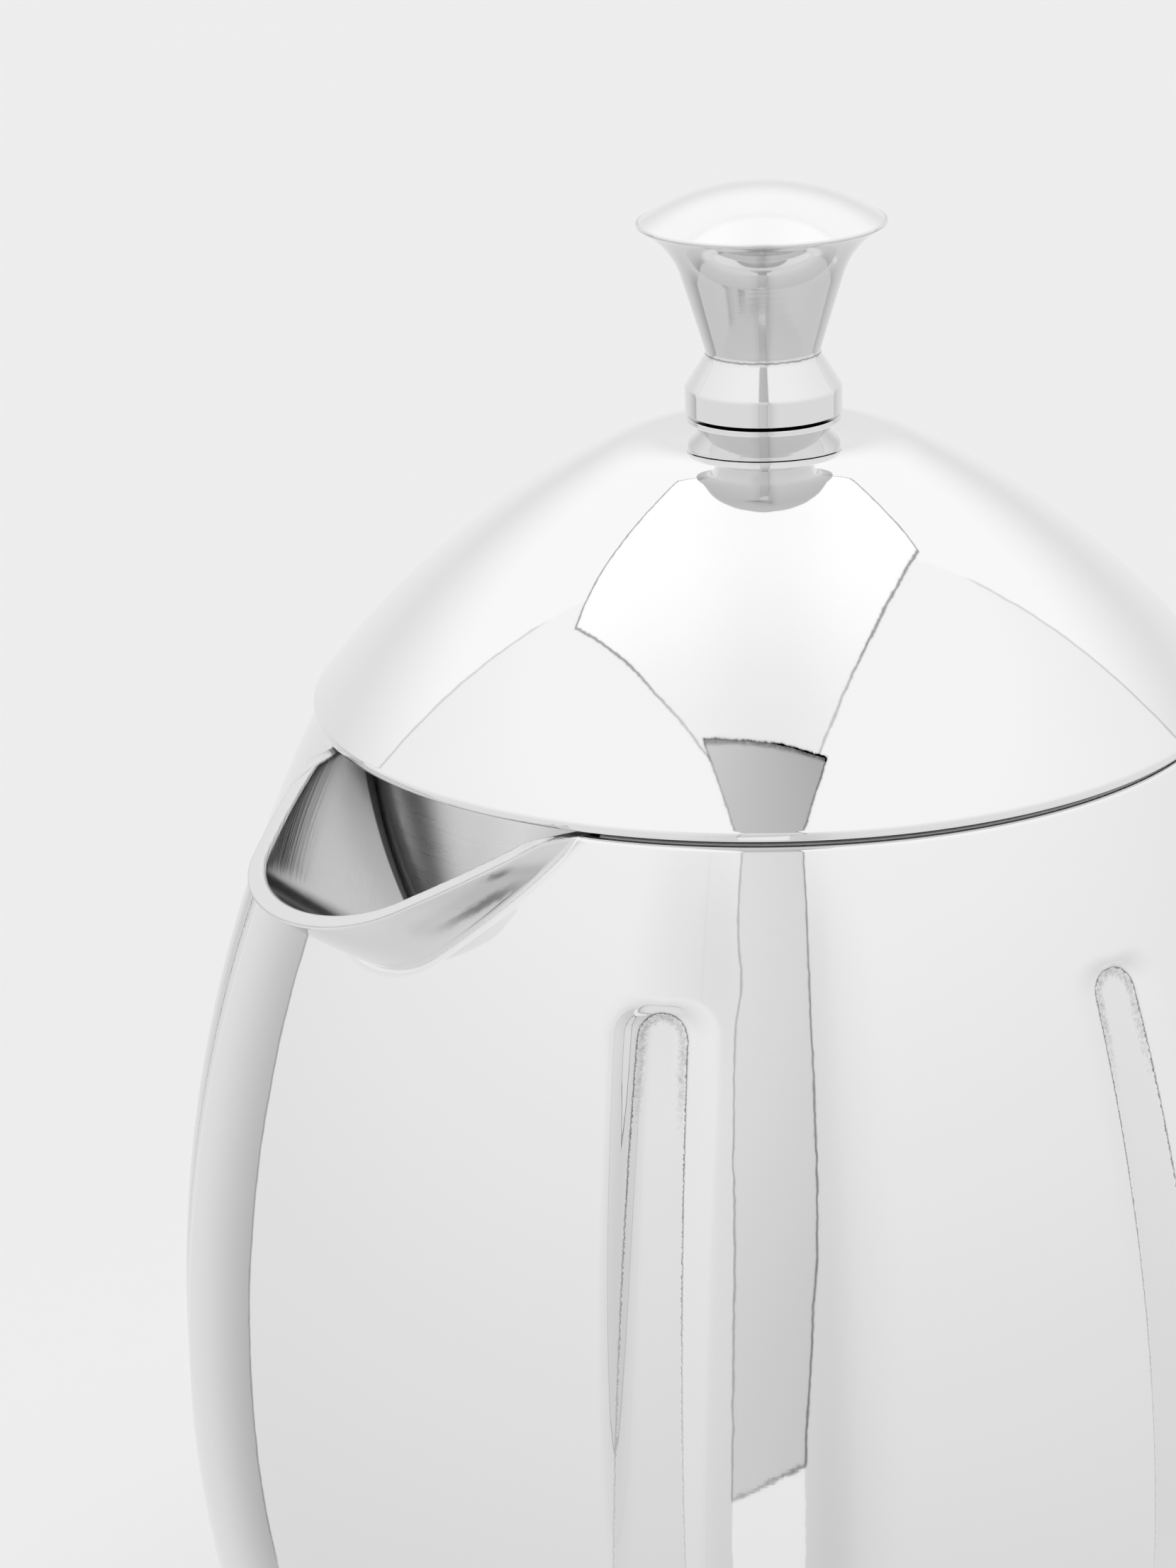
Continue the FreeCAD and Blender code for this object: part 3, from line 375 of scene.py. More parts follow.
def make_spout():
    """The beak: its outside from the weld up to the lip, the ground lip with both edges rounded as
    parabolas, the channel's inside down to the bore, and a back. Each end is drawn to its middle."""
    share = np.sin(np.linspace(-math.pi / 2, math.pi / 2, 131)) * 0.35 + np.linspace(-1, 1, 131) * 0.65
    turn, inner_turn = share * WELD_END, share * BORE_END
    foot = weld_level(turn * JUST_INSIDE)
    lip = np.maximum(lip_height(turn, 0.0), foot)
    inner_lip = lip_height(inner_turn, SPOUT_WALL)
    floor = np.minimum(notch_level(inner_turn * JUST_INSIDE), inner_lip)

    def outside(height):
        return turned_out(turn, skin_reach(turn, height), height)

    def inside(height):
        return turned_out(inner_turn, beak_reach(inner_turn, height, SPOUT_WALL), height)

    ease = LIP_EASE * np.minimum(1, lip - foot)
    rise = np.linspace(0, 1, 40)[:, None]
    outer = outside(foot + (lip - ease - foot) * rise)
    outer_edge, inner_edge = outside(lip), inside(inner_lip)
    across = inner_edge - outer_edge
    wide = np.linalg.norm(across, axis=-1, keepdims=True)
    across = across / np.maximum(wide, 1e-6)
    nip = LIP_NIP * np.minimum(1, wide)
    drop = LIP_NIP * np.minimum(1, inner_lip - floor)
    bow = np.linspace(0, 1, 7)[1:, None, None]

    def rounded(start, corner, end):
        return (1 - bow) ** 2 * start + 2 * bow * (1 - bow) * corner + bow ** 2 * end

    first = rounded(outside(lip - ease), outer_edge, outer_edge + across * nip)
    flat = outer_edge + across * (nip + (wide - 2 * nip) * np.linspace(0.12, 0.88, 5)[:, None, None])
    second = rounded(inner_edge - across * nip, inner_edge, inside(inner_lip - drop))
    down = inside(inner_lip - drop + (floor - inner_lip + drop) * np.linspace(0.04, 1, 36)[:, None])
    ledge = turned_out(inner_turn, np.minimum(BORE, beak_reach(inner_turn, floor, SPOUT_WALL)), floor)
    tuck = turned_out(inner_turn, BORE + BACK_INSET, floor - TUCK_DROP)
    behind = turned_out(turn, egg_reach(foot) - BACK_INSET, foot - BACK_DROP)
    grid = np.concatenate([outer, first, flat, second, down, ledge[None], tuck[None], behind[None]])
    polished = len(outer) + 2
    ground = len(first) + len(flat) + len(second) - 4
    finishes = np.repeat([0, 1, 2], [polished, ground, len(grid) - polished - ground])
    ends = grid[:, [0, -1]].mean(axis=0) + np.zeros((len(grid), 1, 1))
    grid = np.concatenate([ends[:, :1], grid, ends[:, 1:]], axis=1)
    return piece("spout_beak", grid, "pot", [POLISHED, GROUND_LIP, CHANNEL], ["spout"],
                 around=False, along=True, finish_rows=finishes)


def make_liner():
    """The inner cup: floor, rounded corner, bore, rim and flange, notched where the spout opens."""
    even = np.radians(np.arange(-180, 180, 1.5))
    turn = np.sort(np.concatenate([even, BORE_END * np.linspace(-1.004, 1.004, 120)]))
    bend_top = BORE_FLOOR + BORE_CORNER
    wall_low, outside_low = bend_top + 0.6, bend_top + 1.0
    top = notch_level(turn)
    cut = np.abs(turn) < BORE_END
    flange = np.where(cut, BORE + NOTCH_EDGE, MOUTH - FLANGE_GAP)
    easing = np.where(cut, NOTCH_ROUND, RIM_ROUND)
    edge = np.where(cut, 0.1, 0.2)

    def ring(radius, height):
        return turned_out(turn, radius + 0 * turn, height + 0 * turn)[None]

    floor = [ring(r, BORE_FLOOR) for r in (0.0, 10.0, 22.0, 32.0, BORE - BORE_CORNER - 0.6)]
    bend = [ring(BORE - BORE_CORNER + BORE_CORNER * math.cos(a), BORE_FLOOR + BORE_CORNER * (1 + math.sin(a)))
            for a in np.radians(np.linspace(-90, 0, 12))]
    wall = [ring(BORE, wall_low + (top - easing - wall_low) * s) for s in np.linspace(0, 1, 40)]
    curl = [ring(BORE + easing * (1 - math.cos(a)), top - easing * (1 - math.sin(a)))
            for a in np.radians(np.linspace(10, 90, 8))]
    shelf = [ring(BORE + easing + (flange - edge - BORE - easing) * s, top) for s in (0.1, 0.5, 0.9, 1.0)]
    lip = [ring(flange - edge * (1 - math.sin(a)), top - edge * (1 - math.cos(a)))
           for a in np.radians(np.linspace(15, 90, 6))]
    under = [ring(flange, top - SHEET), ring(BORE + SHEET, top - SHEET - 0.05)]
    outside = [ring(BORE + SHEET, outside_low + (top - 1.0 - outside_low) * s) for s in (1.0, 0.5, 0.0)]
    below = [ring(BORE - 4.0, BORE_FLOOR - 0.2), ring(0.0, BORE_FLOOR - SHEET)]
    grid = np.concatenate(floor + bend + wall + curl + shelf + lip + under + outside + below)
    return piece("bore_cup", grid, "pot", [LINER], ["inner_liner"])


def make_base():
    """The foot: a raised middle, a step, the standing ring and the corner up to the seam, then the
    tucked edge and a plain inside."""
    step = CORNER_X - FOOT_WIDTH
    turn_up = math.degrees(math.atan2(SEAM_LEVEL - BASE_CORNER, SEAM_RADIUS - CORNER_X))
    tuck, inner_corner = (SEAM_RADIUS - 1.0, SEAM_LEVEL + 0.2), (CORNER_X - 2.0, BASE_RECESS * 2)
    outline = joined([
        *legs([(0, BASE_RECESS), (step - BASE_RECESS, BASE_RECESS), (step, 0), (CORNER_X, 0)], [8, 4, 6]),
        arc((CORNER_X, BASE_CORNER), BASE_CORNER, -90, turn_up, 24),
        *legs([(SEAM_RADIUS, SEAM_LEVEL), tuck, inner_corner, (0, BASE_RECESS * 2)], [3, 4, 4]),
    ], [0.5, 0.5, 0.0, 0.15, 0.1, 0.5])
    return piece("foot_cap", spun(outline), "pot", [POLISHED], ["base_cap"])


def handle_line():
    """The handle's middle line in its own plane: a level run out, a tight bend, the long back arc,
    a wider bend and a level run in, each touching the next."""
    middle = np.array([HANDLE_REACH - HANDLE_BACK, HANDLE_BULGE])

    def bend_centre(radius, level):
        aside = math.sqrt((HANDLE_BACK - radius) ** 2 - (level - HANDLE_BULGE) ** 2)
        return np.array([middle[0] + aside, level])

    upper = bend_centre(TOP_BEND, HANDLE_TOP - TOP_BEND)
    lower = bend_centre(LOW_BEND, HANDLE_LOW + LOW_BEND)
    rise = math.degrees(math.atan2(*(upper - middle)[::-1]))
    drop = math.degrees(math.atan2(*(lower - middle)[::-1]))
    return np.concatenate([
        line((HANDLE_ROOT, HANDLE_TOP), (upper[0], HANDLE_TOP), 20)[:-1],
        arc(upper, TOP_BEND, 90, rise, 26)[:-1],
        arc(middle, HANDLE_BACK, rise, drop, 44)[:-1],
        arc(lower, LOW_BEND, drop, -90, 30)[:-1],
        line((lower[0], HANDLE_LOW), (HANDLE_LOW_ROOT, HANDLE_LOW), 16),
    ])


def make_handle():
    """An oval carried along the handle's line, trimmed to the pot's side and widened at each weld."""
    way = handle_line()
    heading = np.gradient(way, axis=0)
    heading /= np.linalg.norm(heading, axis=1, keepdims=True)
    across = np.stack([-heading[:, 1], heading[:, 0]], axis=1)
    turn = np.linspace(0, 2 * math.pi, 56, endpoint=False)
    wide = HANDLE_HALF_WIDTH * np.cos(turn)
    deep = HANDLE_HALF_DEPTH * np.sin(turn)
    clear = way[:, 0] - egg_reach(way[:, 1])
    swell = 1 + HANDLE_SWELL * np.exp(-np.clip(clear, 0, None) / HANDLE_SWELL_RUN)[:, None]
    x = way[:, :1] + across[:, :1] * deep * swell
    z = way[:, 1:] + across[:, 1:] * deep * swell
    y = wide * swell + 0 * x
    pot_side = np.sqrt((egg_reach(z) - HANDLE_SINK) ** 2 - y ** 2)
    x = np.where(np.abs(way[:, 1:] - HANDLE_BULGE) > HANDLE_WELDS_FROM, np.maximum(x, pot_side), x)
    grid = np.stack([x, y, z], axis=-1)
    ends = grid[[0, -1]].mean(axis=1, keepdims=True) + np.zeros((1, len(turn), 1))
    grid = np.concatenate([ends[:1], grid, ends[1:]])
    return piece("handle_bow", grid, "pot", [POLISHED], ["handle"])


# Lid and plunger

def crown_curve(radius):
    """The crown's slight swell: level at its edge, and rising smoothly to the middle."""
    return np.stack([radius, CROWN + CROWN_RISE * (1 - (radius / CROWN_FLAT) ** 2) ** 2], axis=1)


def make_lid():
    """The dome: a small lip, a long arc, a bend and a crown that swells slightly, then a plain inner
    skin."""
    edge, foot, inner = LID_EDGE - LID_DROP, LID_EDGE + LID_LIP, LID_RADIUS - SHEET
    low = math.degrees(math.atan2(foot - DOME_AXIS, LID_RADIUS - DOME_CENTRE))
    high = 90 - math.degrees(CROWN_ANGLE)
    inner_low = math.degrees(math.acos((inner - DOME_CENTRE) / (DOME_ARC - SHEET)))
    inner_foot = DOME_AXIS + (DOME_ARC - SHEET) * math.sin(math.radians(inner_low))
    outline = joined([
        line((LID_RADIUS, edge), (LID_RADIUS, foot), 4),
        arc((DOME_CENTRE, DOME_AXIS), DOME_ARC, low, high, 90),
        arc((CROWN_FLAT, CROWN - CROWN_BEND), CROWN_BEND, high, 90, 24),
        crown_curve(np.linspace(CROWN_FLAT, SHANK, 16)),
        *legs([(SHANK, CROWN + CROWN_RISE / 2), (SHANK, CROWN - SHEET), (CROWN_FLAT, CROWN - SHEET)], [3, 4]),
        arc((CROWN_FLAT, CROWN - CROWN_BEND), CROWN_BEND - SHEET, 90, high, 10),
        arc((DOME_CENTRE, DOME_AXIS), DOME_ARC - SHEET, high, inner_low, 24),
        *legs([(inner, inner_foot), (inner, edge), (LID_RADIUS, edge)], [4, 3]),
    ], [0.2, 0, 0, 0.1, 0.1, 0, 0, 0.05, 0.2, 0.2])
    return piece("lid_cover", spun(outline, 320), "lid", [POLISHED], ["lid_dome"],
                 along=True)


def make_collar():
    """The guide's collar: a cone that stands on the crown, its edge and flat top, and the shank below."""
    bush = ROD + RUNNING_FIT + BUSH_WALL
    low, shoulder = PLATE_LOW - NUT_HIGH, COLLAR_TOP - COLLAR_EDGE
    corners = [(bush, low), (SHANK, low), (SHANK, CROWN), (COLLAR_FOOT, CROWN), (COLLAR_RADIUS, shoulder),
               (COLLAR_RADIUS, COLLAR_TOP), (bush, COLLAR_TOP), (bush, low)]
    outline = joined(legs(corners, [3, 6, 3, 8, 4, 5, 5]), [0.1, 0, 0.05, 0.15, 0.1, 0.1, 0.1])
    return piece("guide_collar", spun(outline, 160), "lid", [TURNED], ["lid_collar"],
                 along=True)


def make_knob():
    """The knob: the rod's bore, a drum, a cone in to the waist, a slow cone out, a flare to the rim,
    and a seat for the cap. The cone out and the flare have a slightly rougher finish, darkened with painted
    shade."""
    bore, bore_top = ROD + ROD_CLEAR, ROD_TOP + ROD_CLEAR
    drum, waist, neck = KNOB + KNOB_BASE_HIGH, KNOB + KNOB_WAIST_HIGH, KNOB + KNOB_NECK_HIGH
    rim, top, seat = KNOB + KNOB_RIM_HIGH, KNOB_TOP, KNOB_TOP - CAP_SEAT
    outline = joined([
        *legs([(0.0, bore_top), (bore, bore_top), (bore, KNOB), (KNOB_BASE, KNOB), (KNOB_BASE, drum),
               (KNOB_WAIST, waist), (KNOB_NECK, neck)], [3, 4, 4, 6, 10, 14]),
        arc_to((KNOB_NECK, neck), (KNOB_RIM, rim), KNOB_FLARE, -1, 30),
        *legs([(KNOB_RIM, rim), (KNOB_RIM, top), (CAP_RADIUS, top), (CAP_RADIUS, seat), (0.0, seat)],
              [4, 3, 3, 4]),
    ], [0.0, 0.1, 0.12, 0.2, 0.5, 1.6, 0.2, 0.2, 0.08, 0.0])
    radius, height = outline[:-1].T
    # The flare rows take the satin steel, whose darker tone is painted shade.
    flare = (height > waist + 0.2) & (height < rim + 0.1) & (radius > KNOB_WAIST)
    return piece("knob_grip", spun(outline, 200), "plunger", [TURNED, SATIN_SHADED],
                 ["knob_body"], finish_rows=flare.astype(np.int32))


def make_button():
    """The cap in the knob's top: a short side and a low dome, one arc from the edge to the middle."""
    seat = KNOB_TOP - CAP_SEAT
    dome = (CAP_RADIUS ** 2 + CAP_RISE ** 2) / (2 * CAP_RISE)
    opening = math.degrees(math.asin(CAP_RADIUS / dome))
    outline = joined([
        *legs([(0.0, seat), (CAP_RADIUS, seat), (CAP_RADIUS, KNOB_TOP)], [4, 3]),
        arc((0.0, KNOB_TOP + CAP_RISE - dome), dome, 90 - opening, 90, 40),
    ], [0.05, 0.12])
    return piece("knob_button", spun(outline, 200), "plunger", [BUTTON], ["knob_cap"])


def make_rod():
    """The plunger's rod, with a small rounding at both ends."""
    corners = [(0.0, HUB_LOW), (ROD, HUB_LOW), (ROD, ROD_TOP), (0.0, ROD_TOP)]
    outline = joined(legs(corners, [3, 30, 3]), [0.3, 0.3])
    return piece("rod", spun(outline, 64), "plunger", [TURNED], ["plunger_rod"])


def make_seal():
    """The flat ring under the lid, with rounded edges."""
    outer = SEAL_INNER + SEAL_WIDTH
    corners = [(SEAL_INNER, SEAL_LOW), (outer, SEAL_LOW), (outer, SEAL_HIGH), (SEAL_INNER, SEAL_HIGH),
               (SEAL_INNER, SEAL_LOW)]
    outline = joined(legs(corners, [4, 3, 4, 3]), [0.2, 0.2, 0.15, 0.15])
    return piece("seal_ring", spun(outline), "seal", [SILICONE], ["lid_seal"], along=True)


# Materials

MIX_FACTOR, MIX_LOW, MIX_HIGH, MIX_RESULT = 0, 6, 7, 2
MARK_INPUTS = {"Base": 0.05, "Lines": 0.5, "Hairlines": 0.5, "Line Size": 1.0, "Line Height": 1.0,
               "Ripple": 0.0}
MARK_OUTPUTS = ("Roughness", "Height", "Shade")
MICROMETRE = 0.000001
# Tone and added roughness under a mask: the knob's dark joint, and painted shade in the flutes and at the
# channel's end
STAIN_AND_SHADE_TONE, STAIN_AND_SHADE_DULLS = 0.09, 0.25
MOULDED_RELIEF = 0.0002
WEAVE = 7800.0


class Wire:
    """A value in a node tree; arithmetic on it adds Math nodes."""

    def __init__(self, tree, socket):
        self.tree = tree
        self.socket = socket

    def math(self, kind, other=None):
        """The value after one Math node, with a number or another value as its second input."""
        made = self.tree.nodes.new("ShaderNodeMath")
        made.operation = kind
        connect(self, made.inputs[0])
        if other is not None:
            connect(other, made.inputs[1])
        return Wire(self.tree, made.outputs[0])

    def __add__(self, other):
        return self.math("ADD", other)

    def __sub__(self, other):
        return self.math("SUBTRACT", other)

    def __mul__(self, other):
        return self.math("MULTIPLY", other)

    def __truediv__(self, other):
        return self.math("DIVIDE", other)

    def ramp(self, low, high, start=0.0, end=1.0):
        """A smooth change from start to end as the value goes from low to high."""
        made = self.tree.nodes.new("ShaderNodeMapRange")
        made.interpolation_type = "SMOOTHSTEP"
        connect(self, made.inputs["Value"])
        for name, given in (("From Min", low), ("From Max", high), ("To Min", start), ("To Max", end)):
            connect(given, made.inputs[name])
        return Wire(self.tree, made.outputs["Result"])

    def between(self, low, high, edge):
        """One inside a band and zero outside it, with soft edges."""
        return self.ramp(low - edge, low + edge) * self.ramp(high - edge, high + edge, 1.0, 0.0)

    def toward(self, goal, mask):
        """The value, going over to a goal as the mask goes from zero to one."""
        gap = goal - self if isinstance(goal, Wire) else self * -1.0 + goal
        return self + gap * mask


def connect(given, socket):
    """Links a value to a socket, or sets a constant on it."""
    if isinstance(given, Wire):
        given.tree.links.new(given.socket, socket)
    else:
        socket.default_value = given


def add_node(tree, kind, output, inputs, **settings):
    """The value that a new node puts out, once its settings and inputs are given."""
    made = tree.nodes.new(kind)
    for name, given in settings.items():
        setattr(made, name, given)
    for name, given in inputs.items():
        connect(given, made.inputs[name])
    return Wire(tree, made.outputs[output])


def object_place(tree):
    """The point being shaded, in the part's own frame and in metres."""
    return add_node(tree, "ShaderNodeTexCoord", "Object", {})


def noise(tree, place, scale, detail, roughness=0.5):
    """Cloud noise from zero to one."""
    return add_node(tree, "ShaderNodeTexNoise", "Fac",
                    {"Vector": place, "Scale": scale, "Detail": detail, "Roughness": roughness})


def split(vector):
    """The three parts of a vector."""
    made = vector.tree.nodes.new("ShaderNodeSeparateXYZ")
    connect(vector, made.inputs[0])
    return [Wire(vector.tree, out) for out in made.outputs]


def length(a, b):
    """The long side of a right angle with sides a and b."""
    return (a * a + b * b).math("SQRT")


def grey(tone):
    """A neutral colour."""
    return (tone, tone, tone, 1.0)


def mixed(mask, low, high):
    """A colour that goes from low to high as the mask goes from zero to one."""
    made = mask.tree.nodes.new("ShaderNodeMix")
    made.data_type = "RGBA"
    for socket, given in ((MIX_FACTOR, mask), (MIX_LOW, low), (MIX_HIGH, high)):
        connect(given, made.inputs[socket])
    return Wire(mask.tree, made.outputs[MIX_RESULT])


def new_material(name):
    """A material, its node tree and its shader."""
    material = bpy.data.materials.new(name)
    material.use_nodes = True
    return material, material.node_tree, material.node_tree.nodes["Principled BSDF"]


def surface(shader, colour, rough, height, strength, distance):
    """Gives a shader its colour, roughness and bump."""
    bump = add_node(height.tree, "ShaderNodeBump", "Normal",
                    {"Height": height, "Strength": strength, "Distance": distance})
    for name, given in (("Base Color", colour), ("Roughness", rough), ("Normal", bump)):
        connect(given, shader.inputs[name])


def polish_marks():
    """Shared by the metals: fine lines round the axis, straight hairlines, soft blotches and the
    slow ripple of pressed sheet. Puts out a roughness that varies about a base, a height in
    micrometres for bump, and a shade."""
    group = bpy.data.node_groups.new("polish_marks", "ShaderNodeTree")
    for name, given in MARK_INPUTS.items():
        made = group.interface.new_socket(name, in_out="INPUT", socket_type="NodeSocketFloat")
        made.default_value = given
    for name in MARK_OUTPUTS:
        group.interface.new_socket(name, in_out="OUTPUT", socket_type="NodeSocketFloat")
    gate = group.nodes.new("NodeGroupInput")
    base, lines, hairs, size, deep, wave = (Wire(group, gate.outputs[name]) for name in MARK_INPUTS)
    place = object_place(group)
    x, y, z = split(place)
    out = length(x, y)
    turn = y.math("ARCTAN2", x)
    stretched = add_node(group, "ShaderNodeCombineXYZ", "Vector",
                         {"X": turn * 0.35, "Y": (out + z * 1.3) * size * 900.0, "Z": (out - z) * 40.0})
    rings = noise(group, stretched, 1.0, 4.0, 0.62)
    blotch = noise(group, place, 55.0, 3.0)
    swirl = add_node(group, "ShaderNodeVectorRotate", "Vector", {"Vector": place, "Angle": 0.9},
                     rotation_type="X_AXIS")
    fine = add_node(group, "ShaderNodeMapping", "Vector", {"Vector": swirl, "Scale": (9.0, 420.0, 420.0)})
    cell = add_node(group, "ShaderNodeTexVoronoi", "Distance", {"Vector": fine, "Scale": 1.0})
    hair = cell.ramp(0.0, 0.07, 1.0, 0.0) * blotch.ramp(0.52, 0.72)
    rough = base + (rings - 0.5) * lines * 0.05 + hair * hairs * 0.10 + (blotch - 0.5) * 0.02
    slow = noise(group, place, 32.0, 1.0)
    grain = noise(group, place, 260.0, 2.0)
    height = ((rings - 0.5) * lines - hair * hairs * 0.4) * deep + (slow * 190.0 + grain * 11.0) * wave
    shade = rings.ramp(0.2, 0.8, 0.97, 1.0) - hair * hairs * 0.05
    leave = group.nodes.new("NodeGroupOutput")
    for name, given in zip(MARK_OUTPUTS, (rough, height, shade)):
        connect(given, leave.inputs[name])
    return group


MARKS = polish_marks()


def flute_painted_shade(tree):
    """Painted shade and painted dark reflections in the flutes: jagged dark lines along the foot of a
    flute's walls, a speckled dark patch under its head and a faint darkening of its floor. Heights
    are measured from just under the flute's head."""
    half_width, taper = 2.6, 0.021
    aside = add_node(tree, "ShaderNodeAttribute", "Fac", {}, attribute_name="flute_aside")
    place = object_place(tree)
    over = split(place)[2] / MM - (FLUTE_TOP - 0.7)
    head = over.math("MAXIMUM", 0.0)
    half = over.math("MINIMUM", 0.0) * -taper + half_width
    jag = noise(tree, place, 2600.0, 3.0, 0.7) - 0.5
    edge = length(aside, head) - half + jag * 0.45
    lines = edge.math("ABSOLUTE").ramp(0.02, 0.15, 1.0, 0.0) * over.ramp(-50.0, -4.0, 0.25, 0.85)
    lines = lines * jag.ramp(-0.3, 0.15, 0.35, 1.0)
    patch = edge.between(-0.9, -0.05, 0.6) * over.ramp(-13.0, -0.5) * jag.ramp(-0.2, 0.3, 0.12, 0.6)
    painted_floor_shade = edge.ramp(-0.3, 0.0, 0.06, 0.0)
    return lines.math("MAXIMUM", patch).math("MAXIMUM", painted_floor_shade) * over.ramp(-66.0, -52.0)


def waist_stain(tree):
    """The fine dark joint round the knob's waist."""
    place = object_place(tree)
    jag = noise(tree, place, 1500.0, 3.0) - 0.5
    off = split(place)[2] / MM - (KNOB + KNOB_WAIST_HIGH) + jag * 0.3
    return off.math("ABSOLUTE").ramp(0.03, 0.16, 0.55, 0.0)


def channel_end_shade(tree):
    """Painted shade in the gap where the spout's channel meets the bore: a dark band round the channel's end.
    """
    x, y, _ = split(object_place(tree))
    return length(x, y).ramp((BORE + 0.9) * MM, (BORE + 1.2) * MM, 0.92, 0.0)


def steel(name, tone, base, lines, hairs, size, deep, wave=0.0, stain_and_shade=None, metal=1.0):
    """A steel finish: the shared marks drive its roughness, tint and bump, and a mask darkens and dulls
    it: the dark joint on the knob, and painted shade in the flutes and at the channel's end."""
    material, tree, shader = new_material(name)
    shader.inputs["Metallic"].default_value = metal
    marks = tree.nodes.new("ShaderNodeGroup")
    marks.node_tree = MARKS
    for key, given in zip(MARK_INPUTS, (base, lines, hairs, size, deep, wave)):
        marks.inputs[key].default_value = given
    rough, height, shade = (Wire(tree, marks.outputs[key]) for key in MARK_OUTPUTS)
    colour = mixed(shade, grey(tone * 0.9), grey(tone))
    if stain_and_shade:
        # The mask darkens with the knob's joint line and with painted shade in the flutes and channel.
        mask = stain_and_shade(tree)
        colour = mixed(mask, colour, grey(STAIN_AND_SHADE_TONE))
        rough = rough + mask * STAIN_AND_SHADE_DULLS
    surface(shader, colour, rough, height, 1.0, MICROMETRE)
    return material


def speckled(name, dark, light, rough, scale, bump):
    """A matt moulded finish: a fine cloud of two close tones, with a matching bump."""
    material, tree, shader = new_material(name)
    cloud = noise(tree, object_place(tree), scale, 4.0)
    colour = mixed(cloud, dark, light)
    surface(shader, colour, cloud * 0.2 + (rough - 0.1), cloud, bump, MOULDED_RELIEF)
    return material


def woven(name):
    """Woven wire: two sets of crossing wires on the plan grid, with painted shade in the holes between them.
    """
    material, tree, shader = new_material(name)
    shader.inputs["Metallic"].default_value = 1.0
    x, y, _ = split(object_place(tree))
    across = (x * WEAVE).math("SINE").math("ABSOLUTE")
    down = (y * WEAVE).math("SINE").math("ABSOLUTE")
    wires = across.math("MAXIMUM", down)
    # Painted shade: the holes between the wires are not open, and a dark colour stands in for them.
    colour = mixed(wires.ramp(0.45, 0.85), grey(0.10), grey(0.66))
    surface(shader, colour, wires.ramp(0.4, 1.0, 0.55, 0.32), wires, 0.6, MOULDED_RELIEF)
    return material


MIRROR = dict(base=0.03, lines=0.25, hairs=0.35, size=1.0, deep=3.0, wave=0.6)
POLISHED = steel("mirror_polished_steel", 0.885, **MIRROR)
# The pressed steel carries the flutes' painted shade and painted dark reflections.
PRESSED = steel("pressed_polished_steel", 0.885, stain_and_shade=flute_painted_shade, **MIRROR)
TURNED = steel("turned_polished_steel", 0.83, base=0.07, lines=0.5, hairs=0.4, size=1.4, deep=4.0, wave=0.15,
               stain_and_shade=waist_stain)
# Painted shade: the flare's satin steel is a darker tone than the turned steel; its roughness is only
# slightly higher.
SATIN_SHADED = steel("satin_flare_steel_painted_shade", 0.71, base=0.08, lines=0.8, hairs=0.5, size=1.4, deep=5.0, wave=0.15)
BUTTON = steel("satin_button_steel", 0.87, base=0.15, lines=0.5, hairs=0.4, size=1.4, deep=4.0, wave=0.15)
LINER = steel("drawn_liner_steel", 0.80, base=0.4, lines=0.9, hairs=0.6, size=1.2, deep=8.0, metal=0.35)
GROUND_LIP = steel("ground_lip_steel", 0.72, base=0.34, lines=1.4, hairs=1.2, size=2.5, deep=60.0)
# The channel's end, next to the bore, carries painted shade.
CHANNEL = steel("channel_steel", 0.68, base=0.17, lines=1.0, hairs=0.8, size=1.6, deep=14.0, wave=0.5,
                stain_and_shade=channel_end_shade)
# Painted light: the skirt's tone is set above the other steels to lighten it.
SKIRT_PAINTED_LIGHT = steel("skirt_steel_painted_light", 0.94, base=0.28, lines=0.8, hairs=0.6, size=1.6, deep=10.0, wave=0.5)
BRUSHED = steel("brushed_steel", 0.74, base=0.27, lines=1.6, hairs=0.6, size=2.0, deep=30.0)
SPRING_WIRE = steel("drawn_wire", 0.70, base=0.24, lines=0.8, hairs=0.8, size=3.0, deep=15.0)
SILICONE = speckled("seal_silicone", (0.055, 0.055, 0.057, 1.0), grey(0.10), rough=0.62, scale=900.0,
                    bump=0.3)
BUSH_PLASTIC = speckled("bush_plastic", grey(0.09), grey(0.14), rough=0.5, scale=1200.0, bump=0.2)
WOVEN = woven("woven_filter_wire")


def dress(node, material):
    """Gives a solid that stays in view its finish."""
    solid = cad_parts[node]
    solid.data.materials.clear()
    solid.data.materials.append(material)


make_shell()
make_spout()
make_liner()
make_base()
make_handle()
make_lid()
make_collar()
make_knob()
make_button()
make_rod()
make_seal()
dress("lid_plate", SKIRT_PAINTED_LIGHT)
for solid_name in ("guide_nut", "rod_boss", "cross_plate", "cross_hub", "spring_plate"):
    dress(solid_name, BRUSHED)
dress("edge_spring", SPRING_WIRE)
dress("guide_bush", BUSH_PLASTIC)
dress("filter_mesh", WOVEN)


# Studio: the floor in metres, and directions in the tent in degrees round from the camera and up

VIEW_TURN = math.radians(44.0)
FLOOR_NEAR, FLOOR_FAR, FLOOR_DROP, FLOOR_COLUMNS = 0.085, 5.0, 0.0002, 96
LEFT_CORNER, RIGHT_CORNER = -117.0, 125.0
BACKDROP, LOW_LIGHT = 0.838, 0.81
PLANE_DEGREES = 57.0

PICTURE_HIGH, FOCAL_PIXELS, SHIFT_PIXELS = 2212, 5707.64, (-30.7, 55.5)
SENSOR_HIGH = 24.0
CAMERA_BACK, CAMERA_OVER_LID = 423.18, 136.63
CAMERA_PITCH, CAMERA_YAW, CAMERA_ROLL = 0.346027, -0.0417623, -0.0264087


